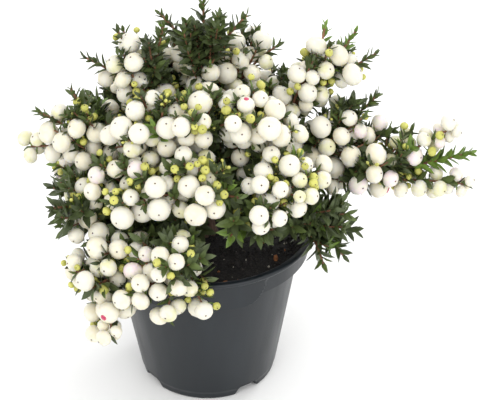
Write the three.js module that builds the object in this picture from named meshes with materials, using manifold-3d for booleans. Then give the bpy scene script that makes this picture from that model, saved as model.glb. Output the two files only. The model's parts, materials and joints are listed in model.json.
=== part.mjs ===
// Potted prickly heath: a small evergreen shrub with white berries, in a 13 cm grower's pot.
// Millimetres, +Z up. The origin is the middle of the pot's flat underside and -Y is the front.
import * as THREE from 'three';
import { mergeVertices } from 'three/addons/utils/BufferGeometryUtils.js';
import Module from 'manifold-3d';

const wasm = await Module();
wasm.setup();

// Pot
const RIM_RADIUS = 65;
const RIM_TOP = 101;
const LIP_HEIGHT = 3;
const LIP_OVERHANG = 2.5;
const WALL = 1.5;
const BAND_HEIGHT = 14.5;
const BAND_DRAFT = 1;
const SHOULDER_RADIUS = 56;
const FOOT_RADIUS = 41.7;
const FOOT_BEVEL = 0.8;
const POT_SIDES = 32;
const PANEL_DROP = 4.5;
const PANEL_PROUD = 0.6;
const PANEL_FROM = 215;
const PANEL_TO = 305;
const PANEL_STEPS = 10;
const NOTCH_TURNS = [36, 126, 216, 306];
const NOTCH_WIDTH = 10;
const NOTCH_DEPTH = 6;
const NOTCH_HEIGHT = 5.5;
const DRAIN_RADIUS = 2.5;
const DRAIN_SIDES = 8;

// Soil
const SOIL_TOP = 94.5;
const SOIL_CROWN = 1.2;
const SOIL_RINGS = 2;
const SOIL_SIDES = POT_SIDES / 2;

// Clearances between neighbouring solids
const GAP = 0.3;
const SPACE_MARGIN = 1.2;
const LIMB_MARGIN = 0.45;
const POT_MARGIN = 1.5;

// Limbs
const TRUNK_TOP = 152;
const TRUNK_SIDES = 9;
const TRUNK_BASE = 4.2;
const TRUNK_TIP = 2.4;
const TRUNK_RINGS = [0, 0.04, 0.1, 0.22, 0.6, 1];
const TRUNK_LEAN = 1.1;
const FLARE = 4.3;
const FLARE_FADE = 14;
const FLARE_LOBES = 3;
const LOBE_DEPTH = 0.15;
const BOUGH_ORIGIN = 2;
const BOUGH_SHARE = 0.4;
const BOUGH_RADII = [1.7, 1.5, 1.35, 1.2];
const BOUGH_SIDES = 5;

// Leaders
const LEADER_RADII = [1.5, 2.3, 3, 0.3];
const LEADER_FROM = 0.08;
const LEADER_BEND = 0.45;
const LEADER_SETBACK = 0.3;
const LEADER_LEAVES = 2;
const FIRST_LEAF = 0.62;
const LEAF_SPACING = 0.15;
const TWIG_SIDES = 3;

// Cores
const CORE_PLACE = 0.44;
const CORE_ALONG = 0.35;
const CORE_ACROSS = 0.75;
const CORE_SHRINK = 0.9;
const CORE_MARGIN = 1.5;
const CORE_SPOTS = 7;
const SPOTS_FROM = -0.6;
const SPOTS_TO = 0.7;

// Leaves and berries
const LEAF_LENGTH = 16;
const LEAF_WIDTH = 6.4;
const LEAF_THICKNESS = 1.6;
const LEAF_WIDEST = 0.36;
const LEAF_LEAN = THREE.MathUtils.degToRad(48);
const LEAF_SUNK = 4;
const BERRY_SMALL = 5.6;
const BERRY_LARGE = 6.8;
const BERRY_PROUD = 0.35;
const GOLDEN_TURN = THREE.MathUtils.degToRad(137.508);
const SEED = 20117;

// Storeys of the crown, from the top down. All limbs of a storey arch by one rule: archOut is where the
// arch stands as a share of the reach, archHeight its height. Each row is one mass of foliage: fork is
// where its bough leaves the trunk, turn its direction from +X towards +Y, reach and height its furthest
// tip, fan the spread of its three leaders, roll the tilt of that fan, and fruit the share of berries.
const STOREYS = [
  {
    archOut: 0.3,
    archHeight: 190,
    masses: [
      { name: 'crown_top', fork: 150, turn: 88, reach: 14, height: 237, fan: 24, roll: 0, fruit: 0.2 },
    ],
  },
  {
    archOut: 0.5,
    archHeight: 170,
    masses: [
      { name: 'upper_left', fork: 140, turn: 180, reach: 46, height: 226, fan: 24, roll: 90, fruit: 0.45 },
      { name: 'upper_front_left', fork: 132, turn: 222, reach: 52, height: 184, fan: 20, roll: 50, fruit: 0.8 },
      { name: 'upper_front', fork: 136, turn: 266, reach: 36, height: 192, fan: 18, roll: 0, fruit: 0.7 },
      { name: 'upper_front_right', fork: 130, turn: 320, reach: 50, height: 186, fan: 20, roll: -40, fruit: 0.95 },
      { name: 'upper_back_right', fork: 136, turn: 60, reach: 46, height: 212, fan: 22, roll: 20, fruit: 0.55 },
      { name: 'upper_back_left', fork: 138, turn: 124, reach: 44, height: 212, fan: 22, roll: 0, fruit: 0.5 },
    ],
  },
  {
    archOut: 0.7,
    archHeight: 172,
    masses: [
      { name: 'upper_right', fork: 128, turn: 15, reach: 89, height: 215, fan: 17, roll: 75, fruit: 0.45 },
    ],
  },
  {
    archOut: 0.5,
    archHeight: 149,
    masses: [
      { name: 'left', fork: 124, turn: 185, reach: 92, height: 180, fan: 23, roll: 85, fruit: 0.65 },
      { name: 'front_left', fork: 112, turn: 228, reach: 74, height: 150, fan: 20, roll: 10, fruit: 0.8 },
      { name: 'front_middle', fork: 120, turn: 268, reach: 64, height: 156, fan: 22, roll: 0, fruit: 0.85 },
      { name: 'front_right', fork: 118, turn: 316, reach: 76, height: 151, fan: 22, roll: 15, fruit: 1 },
      { name: 'right', fork: 124, turn: 8, reach: 111, height: 156, fan: 22, roll: 75, fruit: 0.65 },
      { name: 'back_right', fork: 126, turn: 40, reach: 84, height: 172, fan: 22, roll: 0, fruit: 0.5 },
      { name: 'back', fork: 122, turn: 90, reach: 82, height: 168, fan: 22, roll: 0, fruit: 0.5 },
      { name: 'back_left', fork: 124, turn: 138, reach: 84, height: 172, fan: 22, roll: 0, fruit: 0.5 },
    ],
  },
  {
    archOut: 0.78,
    archHeight: 139,
    masses: [
      { name: 'left_low', fork: 116, turn: 204, reach: 88, height: 124, fan: 20, roll: 60, fruit: 0.45 },
      { name: 'lower_left', fork: 108, turn: 228, reach: 87, height: 72, fan: 20, roll: 30, fruit: 0.95 },
      { name: 'front_low_left', fork: 106, turn: 257, reach: 85, height: 94, fan: 20, roll: -20, fruit: 0.95 },
      { name: 'front_low', fork: 108, turn: 300, reach: 66, height: 129, fan: 18, roll: 0, fruit: 0.15 },
      { name: 'right_low', fork: 108, turn: 336, reach: 87, height: 102, fan: 18, roll: 10, fruit: 0.15 },
      { name: 'low_back_left', fork: 110, turn: 160, reach: 92, height: 116, fan: 20, roll: 0, fruit: 0.45 },
      { name: 'low_back', fork: 106, turn: 108, reach: 88, height: 106, fan: 20, roll: 0, fruit: 0.45 },
      { name: 'low_back_right', fork: 110, turn: 62, reach: 90, height: 108, fan: 20, roll: 0, fruit: 0.45 },
    ],
  },
  {
    archOut: 0.5,
    archHeight: 128,
    masses: [
      { name: 'right_far', fork: 116, turn: 0, reach: 153, height: 149, fan: 18, roll: 75, fruit: 0.6 },
    ],
  },
];

const potPlastic = new THREE.MeshStandardMaterial({ color: 0x3b4247, roughness: 0.45, metalness: 0 });
const peat = new THREE.MeshStandardMaterial({ color: 0x2a211c, roughness: 0.95, metalness: 0 });
const bark = new THREE.MeshStandardMaterial({ color: 0x5b4230, roughness: 0.85, metalness: 0 });
const foliage = new THREE.MeshStandardMaterial({ color: 0x3c5a2e, roughness: 0.5, metalness: 0 });

const group = new THREE.Group();

// Solids from three.js geometry, and back

function solid(geometry) {
  geometry.deleteAttribute('normal');
  geometry.deleteAttribute('uv');
  const merged = mergeVertices(geometry, 1e-4);
  return new wasm.Manifold(new wasm.Mesh({
    numProp: 3,
    vertProperties: new Float32Array(merged.getAttribute('position').array),
    triVerts: new Uint32Array(merged.getIndex().array),
  }));
}

// Fusing may seal a hollow or leave a scrap: only the outer skin of the largest body is kept
function largest(joined) {
  const bodies = joined.decompose();
  return bodies.reduce((best, body) => (body.volume() > best.volume() ? body : best));
}

function add(name, body, material) {
  const { vertProperties, triVerts } = body.getMesh();
  const geometry = new THREE.BufferGeometry();
  geometry.setAttribute('position', new THREE.BufferAttribute(vertProperties, 3));
  geometry.setIndex(new THREE.BufferAttribute(triVerts, 1));
  const mesh = new THREE.Mesh(geometry, material);
  mesh.name = name;
  group.add(mesh);
}

// One seeded number from 0 to 1 for each set of whole-number keys
function chance(...keys) {
  let hash = SEED;
  for (const key of keys) {
    hash = Math.imul(hash ^ key, 0x9e3779b1);
    hash ^= hash >>> 15;
    hash = Math.imul(hash, 0x85ebca77);
    hash ^= hash >>> 13;
  }
  return (hash >>> 0) / 4294967296;
}

function polar(turn, radius, height) {
  const angle = THREE.MathUtils.degToRad(turn);
  return new THREE.Vector3(radius * Math.cos(angle), radius * Math.sin(angle), height);
}

// A limb along a curve, with its radius given at evenly spaced steps from start to end
function limb(curve, radii, sides) {
  const steps = radii.length - 1;
  const geometry = new THREE.CylinderGeometry(1, 1, 1, sides, steps);
  const frames = curve.computeFrenetFrames(steps, false);
  const corners = geometry.getAttribute('position');
  for (let index = 0; index < corners.count; index += 1) {
    const step = Math.round((corners.getY(index) + 0.5) * steps);
    const point = curve.getPointAt(step / steps)
      .addScaledVector(frames.binormals[step], radii[step] * corners.getX(index))
      .addScaledVector(frames.normals[step], radii[step] * corners.getZ(index));
    corners.setXYZ(index, point.x, point.y, point.z);
  }
  return solid(geometry);
}

// Turned solid from a profile of [radius, height] points that starts and ends on the axis
function turned(profile, sides) {
  const points = profile.map(([radius, height]) => new THREE.Vector2(radius, height));
  return solid(new THREE.LatheGeometry(points, sides).rotateX(Math.PI / 2));
}

// Pot: tapered wall, shoulder, upper band and lip, with a deeper label panel and four drain notches

const BAND_RADIUS = RIM_RADIUS - LIP_OVERHANG;
const LIP_BOTTOM = RIM_TOP - LIP_HEIGHT;
const BAND_BOTTOM = RIM_TOP - BAND_HEIGHT;

const notchSolid = (grow) => NOTCH_TURNS.map((turn) => {
  const inner = FOOT_RADIUS - NOTCH_DEPTH - grow;
  const outer = FOOT_RADIUS + 2 * NOTCH_DEPTH;
  const top = NOTCH_HEIGHT + grow;
  const block = new THREE.BoxGeometry(outer - inner, NOTCH_WIDTH + 2 * grow, 2 * top);
  block.translate((outer + inner) / 2, 0, 0);
  block.rotateZ(THREE.MathUtils.degToRad(turn));
  return solid(block);
}).reduce((joined, block) => joined.add(block));

function cavity(inset, sides) {
  return turned([
    [0, WALL + inset],
    [FOOT_RADIUS - WALL - inset, WALL + inset],
    [SHOULDER_RADIUS - WALL - inset, BAND_BOTTOM + inset],
    [BAND_RADIUS - BAND_DRAFT - WALL - inset, BAND_BOTTOM + WALL + inset],
    [BAND_RADIUS - WALL - inset, RIM_TOP + 1],
    [0, RIM_TOP + 1],
  ], sides);
}

// The panel's outline seen from above, raised to the underside of the lip
function labelPanel() {
  const outline = new THREE.Shape();
  const from = THREE.MathUtils.degToRad(PANEL_FROM);
  const to = THREE.MathUtils.degToRad(PANEL_TO);
  outline.absarc(0, 0, BAND_RADIUS + PANEL_PROUD, from, to, false);
  outline.absarc(0, 0, SHOULDER_RADIUS - WALL, to, from, true);
  const height = LIP_BOTTOM - BAND_BOTTOM + PANEL_DROP + 1;
  const raised = { depth: height, bevelEnabled: false, curveSegments: PANEL_STEPS };
  const block = new THREE.ExtrudeGeometry(outline, raised);
  return solid(block.translate(0, 0, BAND_BOTTOM - PANEL_DROP));
}

function pot() {
  const outside = turned([
    [0, 0],
    [FOOT_RADIUS - FOOT_BEVEL, 0],
    [FOOT_RADIUS, FOOT_BEVEL],
    [SHOULDER_RADIUS, BAND_BOTTOM],
    [BAND_RADIUS - BAND_DRAFT, BAND_BOTTOM],
    [BAND_RADIUS, LIP_BOTTOM],
    [RIM_RADIUS, LIP_BOTTOM],
    [RIM_RADIUS, RIM_TOP - FOOT_BEVEL],
    [RIM_RADIUS - FOOT_BEVEL, RIM_TOP],
    [0, RIM_TOP],
  ], POT_SIDES);
  const shell = outside.add(labelPanel())
    .subtract(notchSolid(0))
    .subtract(cavity(0, POT_SIDES).subtract(notchSolid(WALL)));
  const drains = NOTCH_TURNS.map((turn) => {
    const hole = new THREE.CylinderGeometry(DRAIN_RADIUS, DRAIN_RADIUS, 4 * WALL, DRAIN_SIDES);
    const centre = polar(turn, FOOT_RADIUS - NOTCH_DEPTH + DRAIN_RADIUS, NOTCH_HEIGHT);
    return solid(hole.rotateX(Math.PI / 2).translate(centre.x, centre.y, centre.z));
  }).reduce((joined, hole) => joined.add(hole));
  return shell.subtract(drains);
}

// Soil: fills the pot to below the rim, domed a little towards the trunk
function soil() {
  const profile = [[0, 0], [RIM_RADIUS, 0]];
  for (let ring = SOIL_RINGS; ring >= 0; ring -= 1) {
    const share = ring / SOIL_RINGS;
    profile.push([RIM_RADIUS * share, SOIL_TOP - SOIL_CROWN * share ** 2]);
  }
  const filling = cavity(GAP, SOIL_SIDES).subtract(notchSolid(WALL + GAP));
  return filling.intersect(turned(profile, SOIL_SIDES));
}

// Trunk: a short woody stem with a lobed flare, bowed a little to the right
function trunkRadius(rise) {
  return TRUNK_BASE + (TRUNK_TIP - TRUNK_BASE) * rise + FLARE * Math.exp(-rise * FLARE_FADE);
}

function trunk(grow) {
  const foot = SOIL_TOP + GAP;
  const height = TRUNK_TOP - foot;
  const rings = TRUNK_RINGS.map((rise) => [trunkRadius(rise) + grow, foot + rise * height]);
  rings[0][1] -= grow;
  rings[rings.length - 1][1] += grow;
  const profile = [[0, foot - grow], ...rings, [0, TRUNK_TOP + grow]];
  const points = profile.map(([radius, level]) => new THREE.Vector2(radius, level));
  const geometry = new THREE.LatheGeometry(points, TRUNK_SIDES).rotateX(Math.PI / 2);
  const corners = geometry.getAttribute('position');
  for (let index = 0; index < corners.count; index += 1) {
    const [x, y] = [corners.getX(index), corners.getY(index)];
    const rise = (corners.getZ(index) - foot) / height;
    const lobe = 1 + LOBE_DEPTH * Math.exp(-rise * FLARE_FADE) * Math.cos(FLARE_LOBES * Math.atan2(y, x));
    corners.setX(index, x * lobe + 4 * TRUNK_LEAN * rise * (1 - rise));
    corners.setY(index, y * lobe);
  }
  return solid(geometry);
}

// Growth rule: one arching axis for each mass, whose inner share is the bough. From the bough's tip
// three leaders fan out to the mass's tips.
function grow({ storey, ...mass }, order) {
  const start = polar(mass.turn, BOUGH_ORIGIN, mass.fork);
  const arch = polar(mass.turn, mass.reach * storey.archOut, storey.archHeight);
  const end = polar(mass.turn, mass.reach, mass.height);
  const axis = new THREE.QuadraticBezierCurve3(start, arch, end);
  const fork = axis.getPoint(BOUGH_SHARE);
  const bough = new THREE.QuadraticBezierCurve3(start, start.clone().lerp(arch, BOUGH_SHARE), fork);
  const heading = axis.getTangent(BOUGH_SHARE);
  const endHeading = axis.getTangent(1);
  const lateral = polar(mass.turn + 90, 1, 0);
  const normal = new THREE.Vector3().crossVectors(endHeading, lateral);
  const tilt = THREE.MathUtils.degToRad(mass.roll);
  const spread = lateral.clone().multiplyScalar(Math.cos(tilt)).addScaledVector(normal, Math.sin(tilt));
  const leaders = [0, -1, 1].map((side) => {
    const tip = end.clone().addScaledVector(spread, side * mass.fan)
      .addScaledVector(endHeading, -LEADER_SETBACK * Math.abs(side) * mass.fan);
    const bend = fork.clone().addScaledVector(heading, LEADER_BEND * tip.distanceTo(fork));
    return { curve: new THREE.QuadraticBezierCurve3(fork, bend, tip), side };
  });
  return { ...mass, order, bough, spread, leaders };
}

// Distance from a point to a chain of straight pieces
function distanceTo(chain, point) {
  const nearest = new THREE.Vector3();
  return Math.min(...chain.map((piece) => piece.closestPointToPoint(point, true, nearest).distanceTo(point)));
}

function chainOf(curve, pieces) {
  const points = curve.getPoints(pieces);
  return points.slice(1).map((point, index) => new THREE.Line3(points[index], point));
}

const growths = STOREYS.flatMap((storey) => storey.masses.map((mass) => ({ ...mass, storey }))).map(grow);
const leaderChains = growths.map((growth) => growth.leaders.flatMap(({ curve }) => chainOf(curve, 6)));
const boughChains = growths.map((growth) => chainOf(growth.bough, BOUGH_RADII.length - 1));

// A ball of the radius given is in a mass's own space when it is nearer to that mass's leaders than to
// any other's, and clear of the limbs, the pot and the soil
function isFree(growth, point, radius) {
  const own = distanceTo(leaderChains[growth.order], point);
  for (const other of growths) {
    if (other !== growth && distanceTo(leaderChains[other.order], point) < own + 2 * radius + SPACE_MARGIN) {
      return false;
    }
    if (distanceTo(boughChains[other.order], point) < BOUGH_RADII[0] + radius + LIMB_MARGIN) {
      return false;
    }
  }
  const out = Math.hypot(point.x, point.y);
  const besideTrunk = out - radius < TRUNK_BASE + TRUNK_LEAN && point.z - radius < TRUNK_TOP + LIMB_MARGIN;
  const clearance = radius + POT_MARGIN;
  const overRim = point.z - clearance > RIM_TOP;
  const outsideRim = out - clearance > RIM_RADIUS;
  const overSoil = out + clearance < BAND_RADIUS - WALL && point.z - clearance > SOIL_TOP;
  return !besideTrunk && (overRim || outsideRim || overSoil);
}

// A pointed blade of eight faces, widest near its root, or nothing where it would leave the space
function leaf(growth, root, along, aside) {
  const side = new THREE.Vector3().crossVectors(along, aside).normalize();
  const face = new THREE.Vector3().crossVectors(along, side);
  const geometry = new THREE.OctahedronGeometry(1, 0);
  const corners = geometry.getAttribute('position');
  for (let index = 0; index < corners.count; index += 1) {
    const share = Math.abs(corners.getX(index)) < 0.5 ? LEAF_WIDEST : (corners.getX(index) + 1) / 2;
    const point = root.clone().addScaledVector(along, share * LEAF_LENGTH)
      .addScaledVector(side, corners.getY(index) * LEAF_WIDTH / 2)
      .addScaledVector(face, corners.getZ(index) * LEAF_THICKNESS / 2);
    if (!isFree(growth, point, 0)) {
      return [];
    }
    corners.setXYZ(index, point.x, point.y, point.z);
  }
  return [solid(geometry)];
}

// A leader: a three-sided twig that fills out where its leaves are dense and ends in a point, with
// larger leaves standing out of it in a spiral. The middle leader is the stem that meets the bough.
function leader(growth, { curve, side }) {
  const from = side === 0 ? GAP / curve.getLength() : LEADER_FROM;
  const start = curve.getPoint(from);
  const end = curve.getPoint(1);
  const bend = curve.getPoint((from + 1) / 2).multiplyScalar(2).addScaledVector(start, -0.5)
    .addScaledVector(end, -0.5);
  const parts = [limb(new THREE.QuadraticBezierCurve3(start, bend, end), LEADER_RADII, TWIG_SIDES)];
  const frames = curve.computeFrenetFrames(LEADER_LEAVES, false);
  const firstTurn = 2 * Math.PI * chance(growth.order, side + 1);
  for (let number = 0; number < LEADER_LEAVES; number += 1) {
    const place = FIRST_LEAF + LEAF_SPACING * number;
    const turn = firstTurn + number * GOLDEN_TURN;
    const aside = frames.normals[number].clone().multiplyScalar(Math.cos(turn))
      .addScaledVector(frames.binormals[number], Math.sin(turn));
    const along = curve.getTangent(place).multiplyScalar(Math.cos(LEAF_LEAN))
      .addScaledVector(aside, Math.sin(LEAF_LEAN)).normalize();
    parts.push(...leaf(growth, curve.getPoint(place), along, aside));
  }
  return parts;
}

// A point is drawn in towards a centre until a ball of the clearance given is in the mass's space
function drawnIn(growth, centre, offset, clearance) {
  const step = offset.clone();
  while (!isFree(growth, centre.clone().add(step), clearance) && step.length() > 1) {
    step.multiplyScalar(CORE_SHRINK);
  }
  return centre.clone().add(step);
}

function berry(centre, radius) {
  return solid(new THREE.IcosahedronGeometry(radius, 0).translate(centre.x, centre.y, centre.z));
}

// The dense middle of a mass: a faceted core round the leaders' inner part, each of its corners drawn in
// to the mass's space, with berries and leaves standing out of it in a spiral
function core(growth) {
  const { curve } = growth.leaders[0];
  const centre = curve.getPoint(CORE_PLACE);
  const heading = curve.getTangent(CORE_PLACE);
  const depth = new THREE.Vector3().crossVectors(growth.spread, heading).normalize();
  const width = new THREE.Vector3().crossVectors(depth, heading);
  const reach = (x, y, z) => new THREE.Vector3()
    .addScaledVector(heading, x * CORE_ALONG * curve.getLength())
    .addScaledVector(width, y * CORE_ACROSS * growth.fan)
    .addScaledVector(depth, z * CORE_ACROSS * growth.fan);
  const body = new THREE.OctahedronGeometry(1, 1);
  const corners = body.getAttribute('position');
  for (let index = 0; index < corners.count; index += 1) {
    const offset = reach(corners.getX(index), corners.getY(index), corners.getZ(index));
    const point = drawnIn(growth, centre, offset, CORE_MARGIN);
    corners.setXYZ(index, point.x, point.y, point.z);
  }
  const parts = [solid(body)];
  const firstTurn = 2 * Math.PI * chance(growth.order, 9);
  for (let spot = 0; spot < CORE_SPOTS; spot += 1) {
    const along = SPOTS_FROM + (SPOTS_TO - SPOTS_FROM) * spot / (CORE_SPOTS - 1);
    const turn = firstTurn + spot * GOLDEN_TURN;
    const round = Math.sqrt(1 - along * along);
    const offset = reach(along, round * Math.cos(turn), round * Math.sin(turn));
    const outward = offset.clone().normalize();
    if (chance(growth.order, 7, spot) < growth.fruit) {
      const radius = BERRY_SMALL + (BERRY_LARGE - BERRY_SMALL) * chance(growth.order, 8, spot);
      const proud = offset.addScaledVector(outward, BERRY_PROUD * radius);
      parts.push(berry(drawnIn(growth, centre, proud, radius), radius));
    } else {
      const direction = outward.clone().addScaledVector(heading, 0.7).normalize();
      const root = drawnIn(growth, centre, offset, LEAF_SUNK).addScaledVector(outward, -LEAF_SUNK);
      parts.push(...leaf(growth, root, direction, outward));
    }
  }
  return parts;
}

// Limbs grown by the gap, to cut their neighbours clear
const fatBough = (growth) => limb(growth.bough, BOUGH_RADII.map((radius) => radius + GAP), BOUGH_SIDES);

// Each bough is cut clear of the trunk and of the boughs that leave it before
function boughs() {
  let taken = trunk(GAP);
  return growths.map((growth) => {
    const whole = limb(growth.bough, BOUGH_RADII, BOUGH_SIDES);
    const cut = largest(whole.subtract(taken));
    taken = taken.add(fatBough(growth));
    return cut;
  });
}

function mass(growth, limbs) {
  const shoots = growth.leaders.flatMap((shoot) => leader(growth, shoot));
  const fused = wasm.Manifold.union([...core(growth), ...shoots]);
  return largest(fused.subtract(limbs));
}

add('pot', pot(), potPlastic);
add('soil', soil(), peat);
add('trunk', trunk(0), bark);
boughs().forEach((body, order) => add(`bough_${growths[order].name}`, body, bark));
const limbs = wasm.Manifold.union([trunk(GAP), ...growths.map(fatBough)]);
growths.forEach((growth) => add(`foliage_${growth.name}`, mass(growth, limbs), foliage));

export default group;
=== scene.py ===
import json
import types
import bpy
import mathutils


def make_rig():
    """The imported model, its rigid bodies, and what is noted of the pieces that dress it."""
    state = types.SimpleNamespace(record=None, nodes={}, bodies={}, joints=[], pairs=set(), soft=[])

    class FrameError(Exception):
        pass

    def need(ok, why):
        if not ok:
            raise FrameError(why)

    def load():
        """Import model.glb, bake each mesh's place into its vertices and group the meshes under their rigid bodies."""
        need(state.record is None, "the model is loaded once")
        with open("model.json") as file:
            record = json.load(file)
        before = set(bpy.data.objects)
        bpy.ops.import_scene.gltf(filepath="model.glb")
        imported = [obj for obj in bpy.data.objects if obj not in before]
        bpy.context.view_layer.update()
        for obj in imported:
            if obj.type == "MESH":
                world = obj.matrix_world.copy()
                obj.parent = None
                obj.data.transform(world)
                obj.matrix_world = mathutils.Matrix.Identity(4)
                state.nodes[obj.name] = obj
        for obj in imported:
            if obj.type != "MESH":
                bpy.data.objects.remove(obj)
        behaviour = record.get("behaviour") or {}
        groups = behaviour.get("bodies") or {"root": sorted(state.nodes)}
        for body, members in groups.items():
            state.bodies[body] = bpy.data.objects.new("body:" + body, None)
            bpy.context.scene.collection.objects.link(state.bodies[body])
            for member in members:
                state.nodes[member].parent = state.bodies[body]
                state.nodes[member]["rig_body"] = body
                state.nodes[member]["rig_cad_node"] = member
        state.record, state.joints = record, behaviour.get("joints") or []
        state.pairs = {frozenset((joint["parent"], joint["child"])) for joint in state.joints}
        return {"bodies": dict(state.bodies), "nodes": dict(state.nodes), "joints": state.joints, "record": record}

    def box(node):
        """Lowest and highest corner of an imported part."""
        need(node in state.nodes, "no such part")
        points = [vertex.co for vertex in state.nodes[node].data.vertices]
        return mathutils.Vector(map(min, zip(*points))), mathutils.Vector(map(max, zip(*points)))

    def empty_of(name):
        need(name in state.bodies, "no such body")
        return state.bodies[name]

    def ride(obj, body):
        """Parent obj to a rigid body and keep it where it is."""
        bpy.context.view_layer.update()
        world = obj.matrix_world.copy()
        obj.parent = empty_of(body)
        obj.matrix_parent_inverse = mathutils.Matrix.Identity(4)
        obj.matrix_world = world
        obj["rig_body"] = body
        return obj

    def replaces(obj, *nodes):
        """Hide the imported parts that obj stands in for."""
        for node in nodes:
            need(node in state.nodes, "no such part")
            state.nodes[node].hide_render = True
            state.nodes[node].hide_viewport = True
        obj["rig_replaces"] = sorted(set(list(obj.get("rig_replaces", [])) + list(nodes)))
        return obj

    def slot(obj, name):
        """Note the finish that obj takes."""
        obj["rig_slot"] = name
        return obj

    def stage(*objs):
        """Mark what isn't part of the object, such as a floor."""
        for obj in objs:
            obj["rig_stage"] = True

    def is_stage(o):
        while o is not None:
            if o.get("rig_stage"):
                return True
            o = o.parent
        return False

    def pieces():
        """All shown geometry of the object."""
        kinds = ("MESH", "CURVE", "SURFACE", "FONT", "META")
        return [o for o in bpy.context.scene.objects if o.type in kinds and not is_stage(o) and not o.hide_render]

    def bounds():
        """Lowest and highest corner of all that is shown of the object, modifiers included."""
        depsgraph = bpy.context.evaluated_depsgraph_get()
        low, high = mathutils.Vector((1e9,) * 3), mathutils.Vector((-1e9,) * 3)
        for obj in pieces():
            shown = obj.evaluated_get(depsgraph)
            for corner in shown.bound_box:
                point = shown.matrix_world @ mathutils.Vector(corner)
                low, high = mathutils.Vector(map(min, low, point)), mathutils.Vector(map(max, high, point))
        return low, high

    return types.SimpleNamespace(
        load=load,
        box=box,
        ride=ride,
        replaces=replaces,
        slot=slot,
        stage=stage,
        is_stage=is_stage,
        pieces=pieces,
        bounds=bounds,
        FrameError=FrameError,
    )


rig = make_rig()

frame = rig.load()
CAD_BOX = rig.bounds()

import json
from dataclasses import dataclass, fields, replace
from functools import cache
from math import pi, radians

import bpy
import numpy as np
from bpy.props import FloatProperty, FloatVectorProperty, PointerProperty
from bpy.types import Operator, Panel, PropertyGroup

bl_info = {
    "name": "Prickly heath in a nursery pot",
    "version": (1, 0, 0),
    "blender": (4, 5, 0),
    "location": "View3D > Sidebar > Heath",
    "description": "Dresses a potted prickly heath with bark, leaves and white berries",
    "category": "Add Mesh",
}

# Shapes are worked out in millimetres, as the plant is measured, and become metres as they enter a mesh.
# Where a comment says line, the pair is a value at 0 and what is added to it on the way to 1.
MM = 0.001
UP = np.array([0.0, 0.0, 1.0])
ROOT_BODY = "root"

# What counts as nearly upright or straight, and a shift that keeps the noise's lattice numbers positive
NEARLY_UPRIGHT = 0.95
NEARLY_STRAIGHT = 1e-3
LATTICE_SHIFT = 4096.0

# The pot, whose rim radius and height come from the frame
POT_LOW, POT_HIGH = (np.array(corner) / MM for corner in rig.box("pot"))
RIM_RADIUS = (POT_HIGH[0] - POT_LOW[0]) / 2
RIM_TOP = POT_HIGH[2]
LIP_HEIGHT = 3.0
LIP_OVERHANG = 2.5
WALL = 1.5
BAND_HEIGHT = 14.5
BAND_DRAFT = 1.0
BAND_RADIUS = RIM_RADIUS - LIP_OVERHANG
BAND_BOTTOM = RIM_TOP - BAND_HEIGHT
LIP_BOTTOM = RIM_TOP - LIP_HEIGHT
SHOULDER_RADIUS = 56.0
FOOT_RADIUS = 41.7
FOOT_BEVEL = 0.8
FOOT_INSET = 0.5
FOOT_INSET_TOP = 5.2
FOOT_INSET_EASE = 0.4
PANEL_FROM = radians(215)
PANEL_TO = radians(305)
PANEL_BOTTOM = BAND_BOTTOM - 4.5
PANEL_CLOSE = LIP_BOTTOM + 2
PANEL_PROUD = 0.6
PANEL_CORNER = 13.0
STEP_SOFTNESS = 0.45
NOTCH_TURNS = np.radians([36, 126, 216, 306])
NOTCH_WIDTH = 10.0
NOTCH_SLOPE = 4.0
NOTCH_INNER = FOOT_RADIUS - 6.0
NOTCH_HEIGHT = 5.5

# The pot's mesh: its columns, and the radii or heights of its rows, closest where the outline steps
POT_COLUMNS = 384
FLOOR_ROWS = np.concatenate([[2, 10, 20, 30], np.linspace(33.5, FOOT_RADIUS - FOOT_INSET - FOOT_BEVEL, 9)])
FOOT_ROWS = 9
FOOT_TOP = 9.0
WALL_ROWS = np.concatenate([np.linspace(14, 80, 12), np.linspace(80.5, LIP_BOTTOM, 46)])
LIP_ROWS = 10
MOUTH_OUT = np.array([[0.9], [0.25]])
MOUTH_DOWN = np.array([[0.0], [0.25]])
INNER_ROWS = np.concatenate([[RIM_TOP - 0.9, 96, 92], np.linspace(89, 86, 7), [70, 40, 20, 9]])

# The soil
SOIL_TOP = 94.5
SOIL_PEAK = SOIL_TOP + 1.2
SOIL_CROWN = 1.2
SOIL_GAP = 0.3
SOIL_BOTTOM = WALL + SOIL_GAP + NOTCH_HEIGHT
SOIL_COLUMNS = 216
SOIL_ROWS = 64
SOIL_INNERMOST = 1.5
SOIL_FLOOR_ROWS = np.array([[12.0], [30.0]])
SOIL_SIDE_ROWS = np.array([[SOIL_BOTTOM], [30], [60], [84], [87.5], [90], [92.5]])
LUMP_HEIGHT = 0.8
GRAIN_HEIGHT = 0.55
STEM_RISE = 0.9
STEM_RISE_REACH = 9.0
CHIP_COLOUR = (0.36, 0.14, 0.05)
GRIT_COLOURS = ((0.30, 0.27, 0.22), (0.62, 0.58, 0.5))

# Noises are given as the lattice's cell, the salt and the layers.
LUMP_NOISE = (9.0, 400, 4)
GRAIN_NOISE = (3.2, 410, 3)

# Crumbs, grit and chips: the rows and columns of each, how far they stay from the pot, how far their
# centres stand above the soil as a share of their size, and the lines of their roughness and stretch
CRUMB_ROWS = 4
CRUMB_COLUMNS = 6
CRUMB_INSET = 2.5
CRUMB_PROUD = 0.25
CRUMB_ROUGHNESS = (0.65, 0.6)
CRUMB_STRETCH = (0.6, 0.8)

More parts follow.
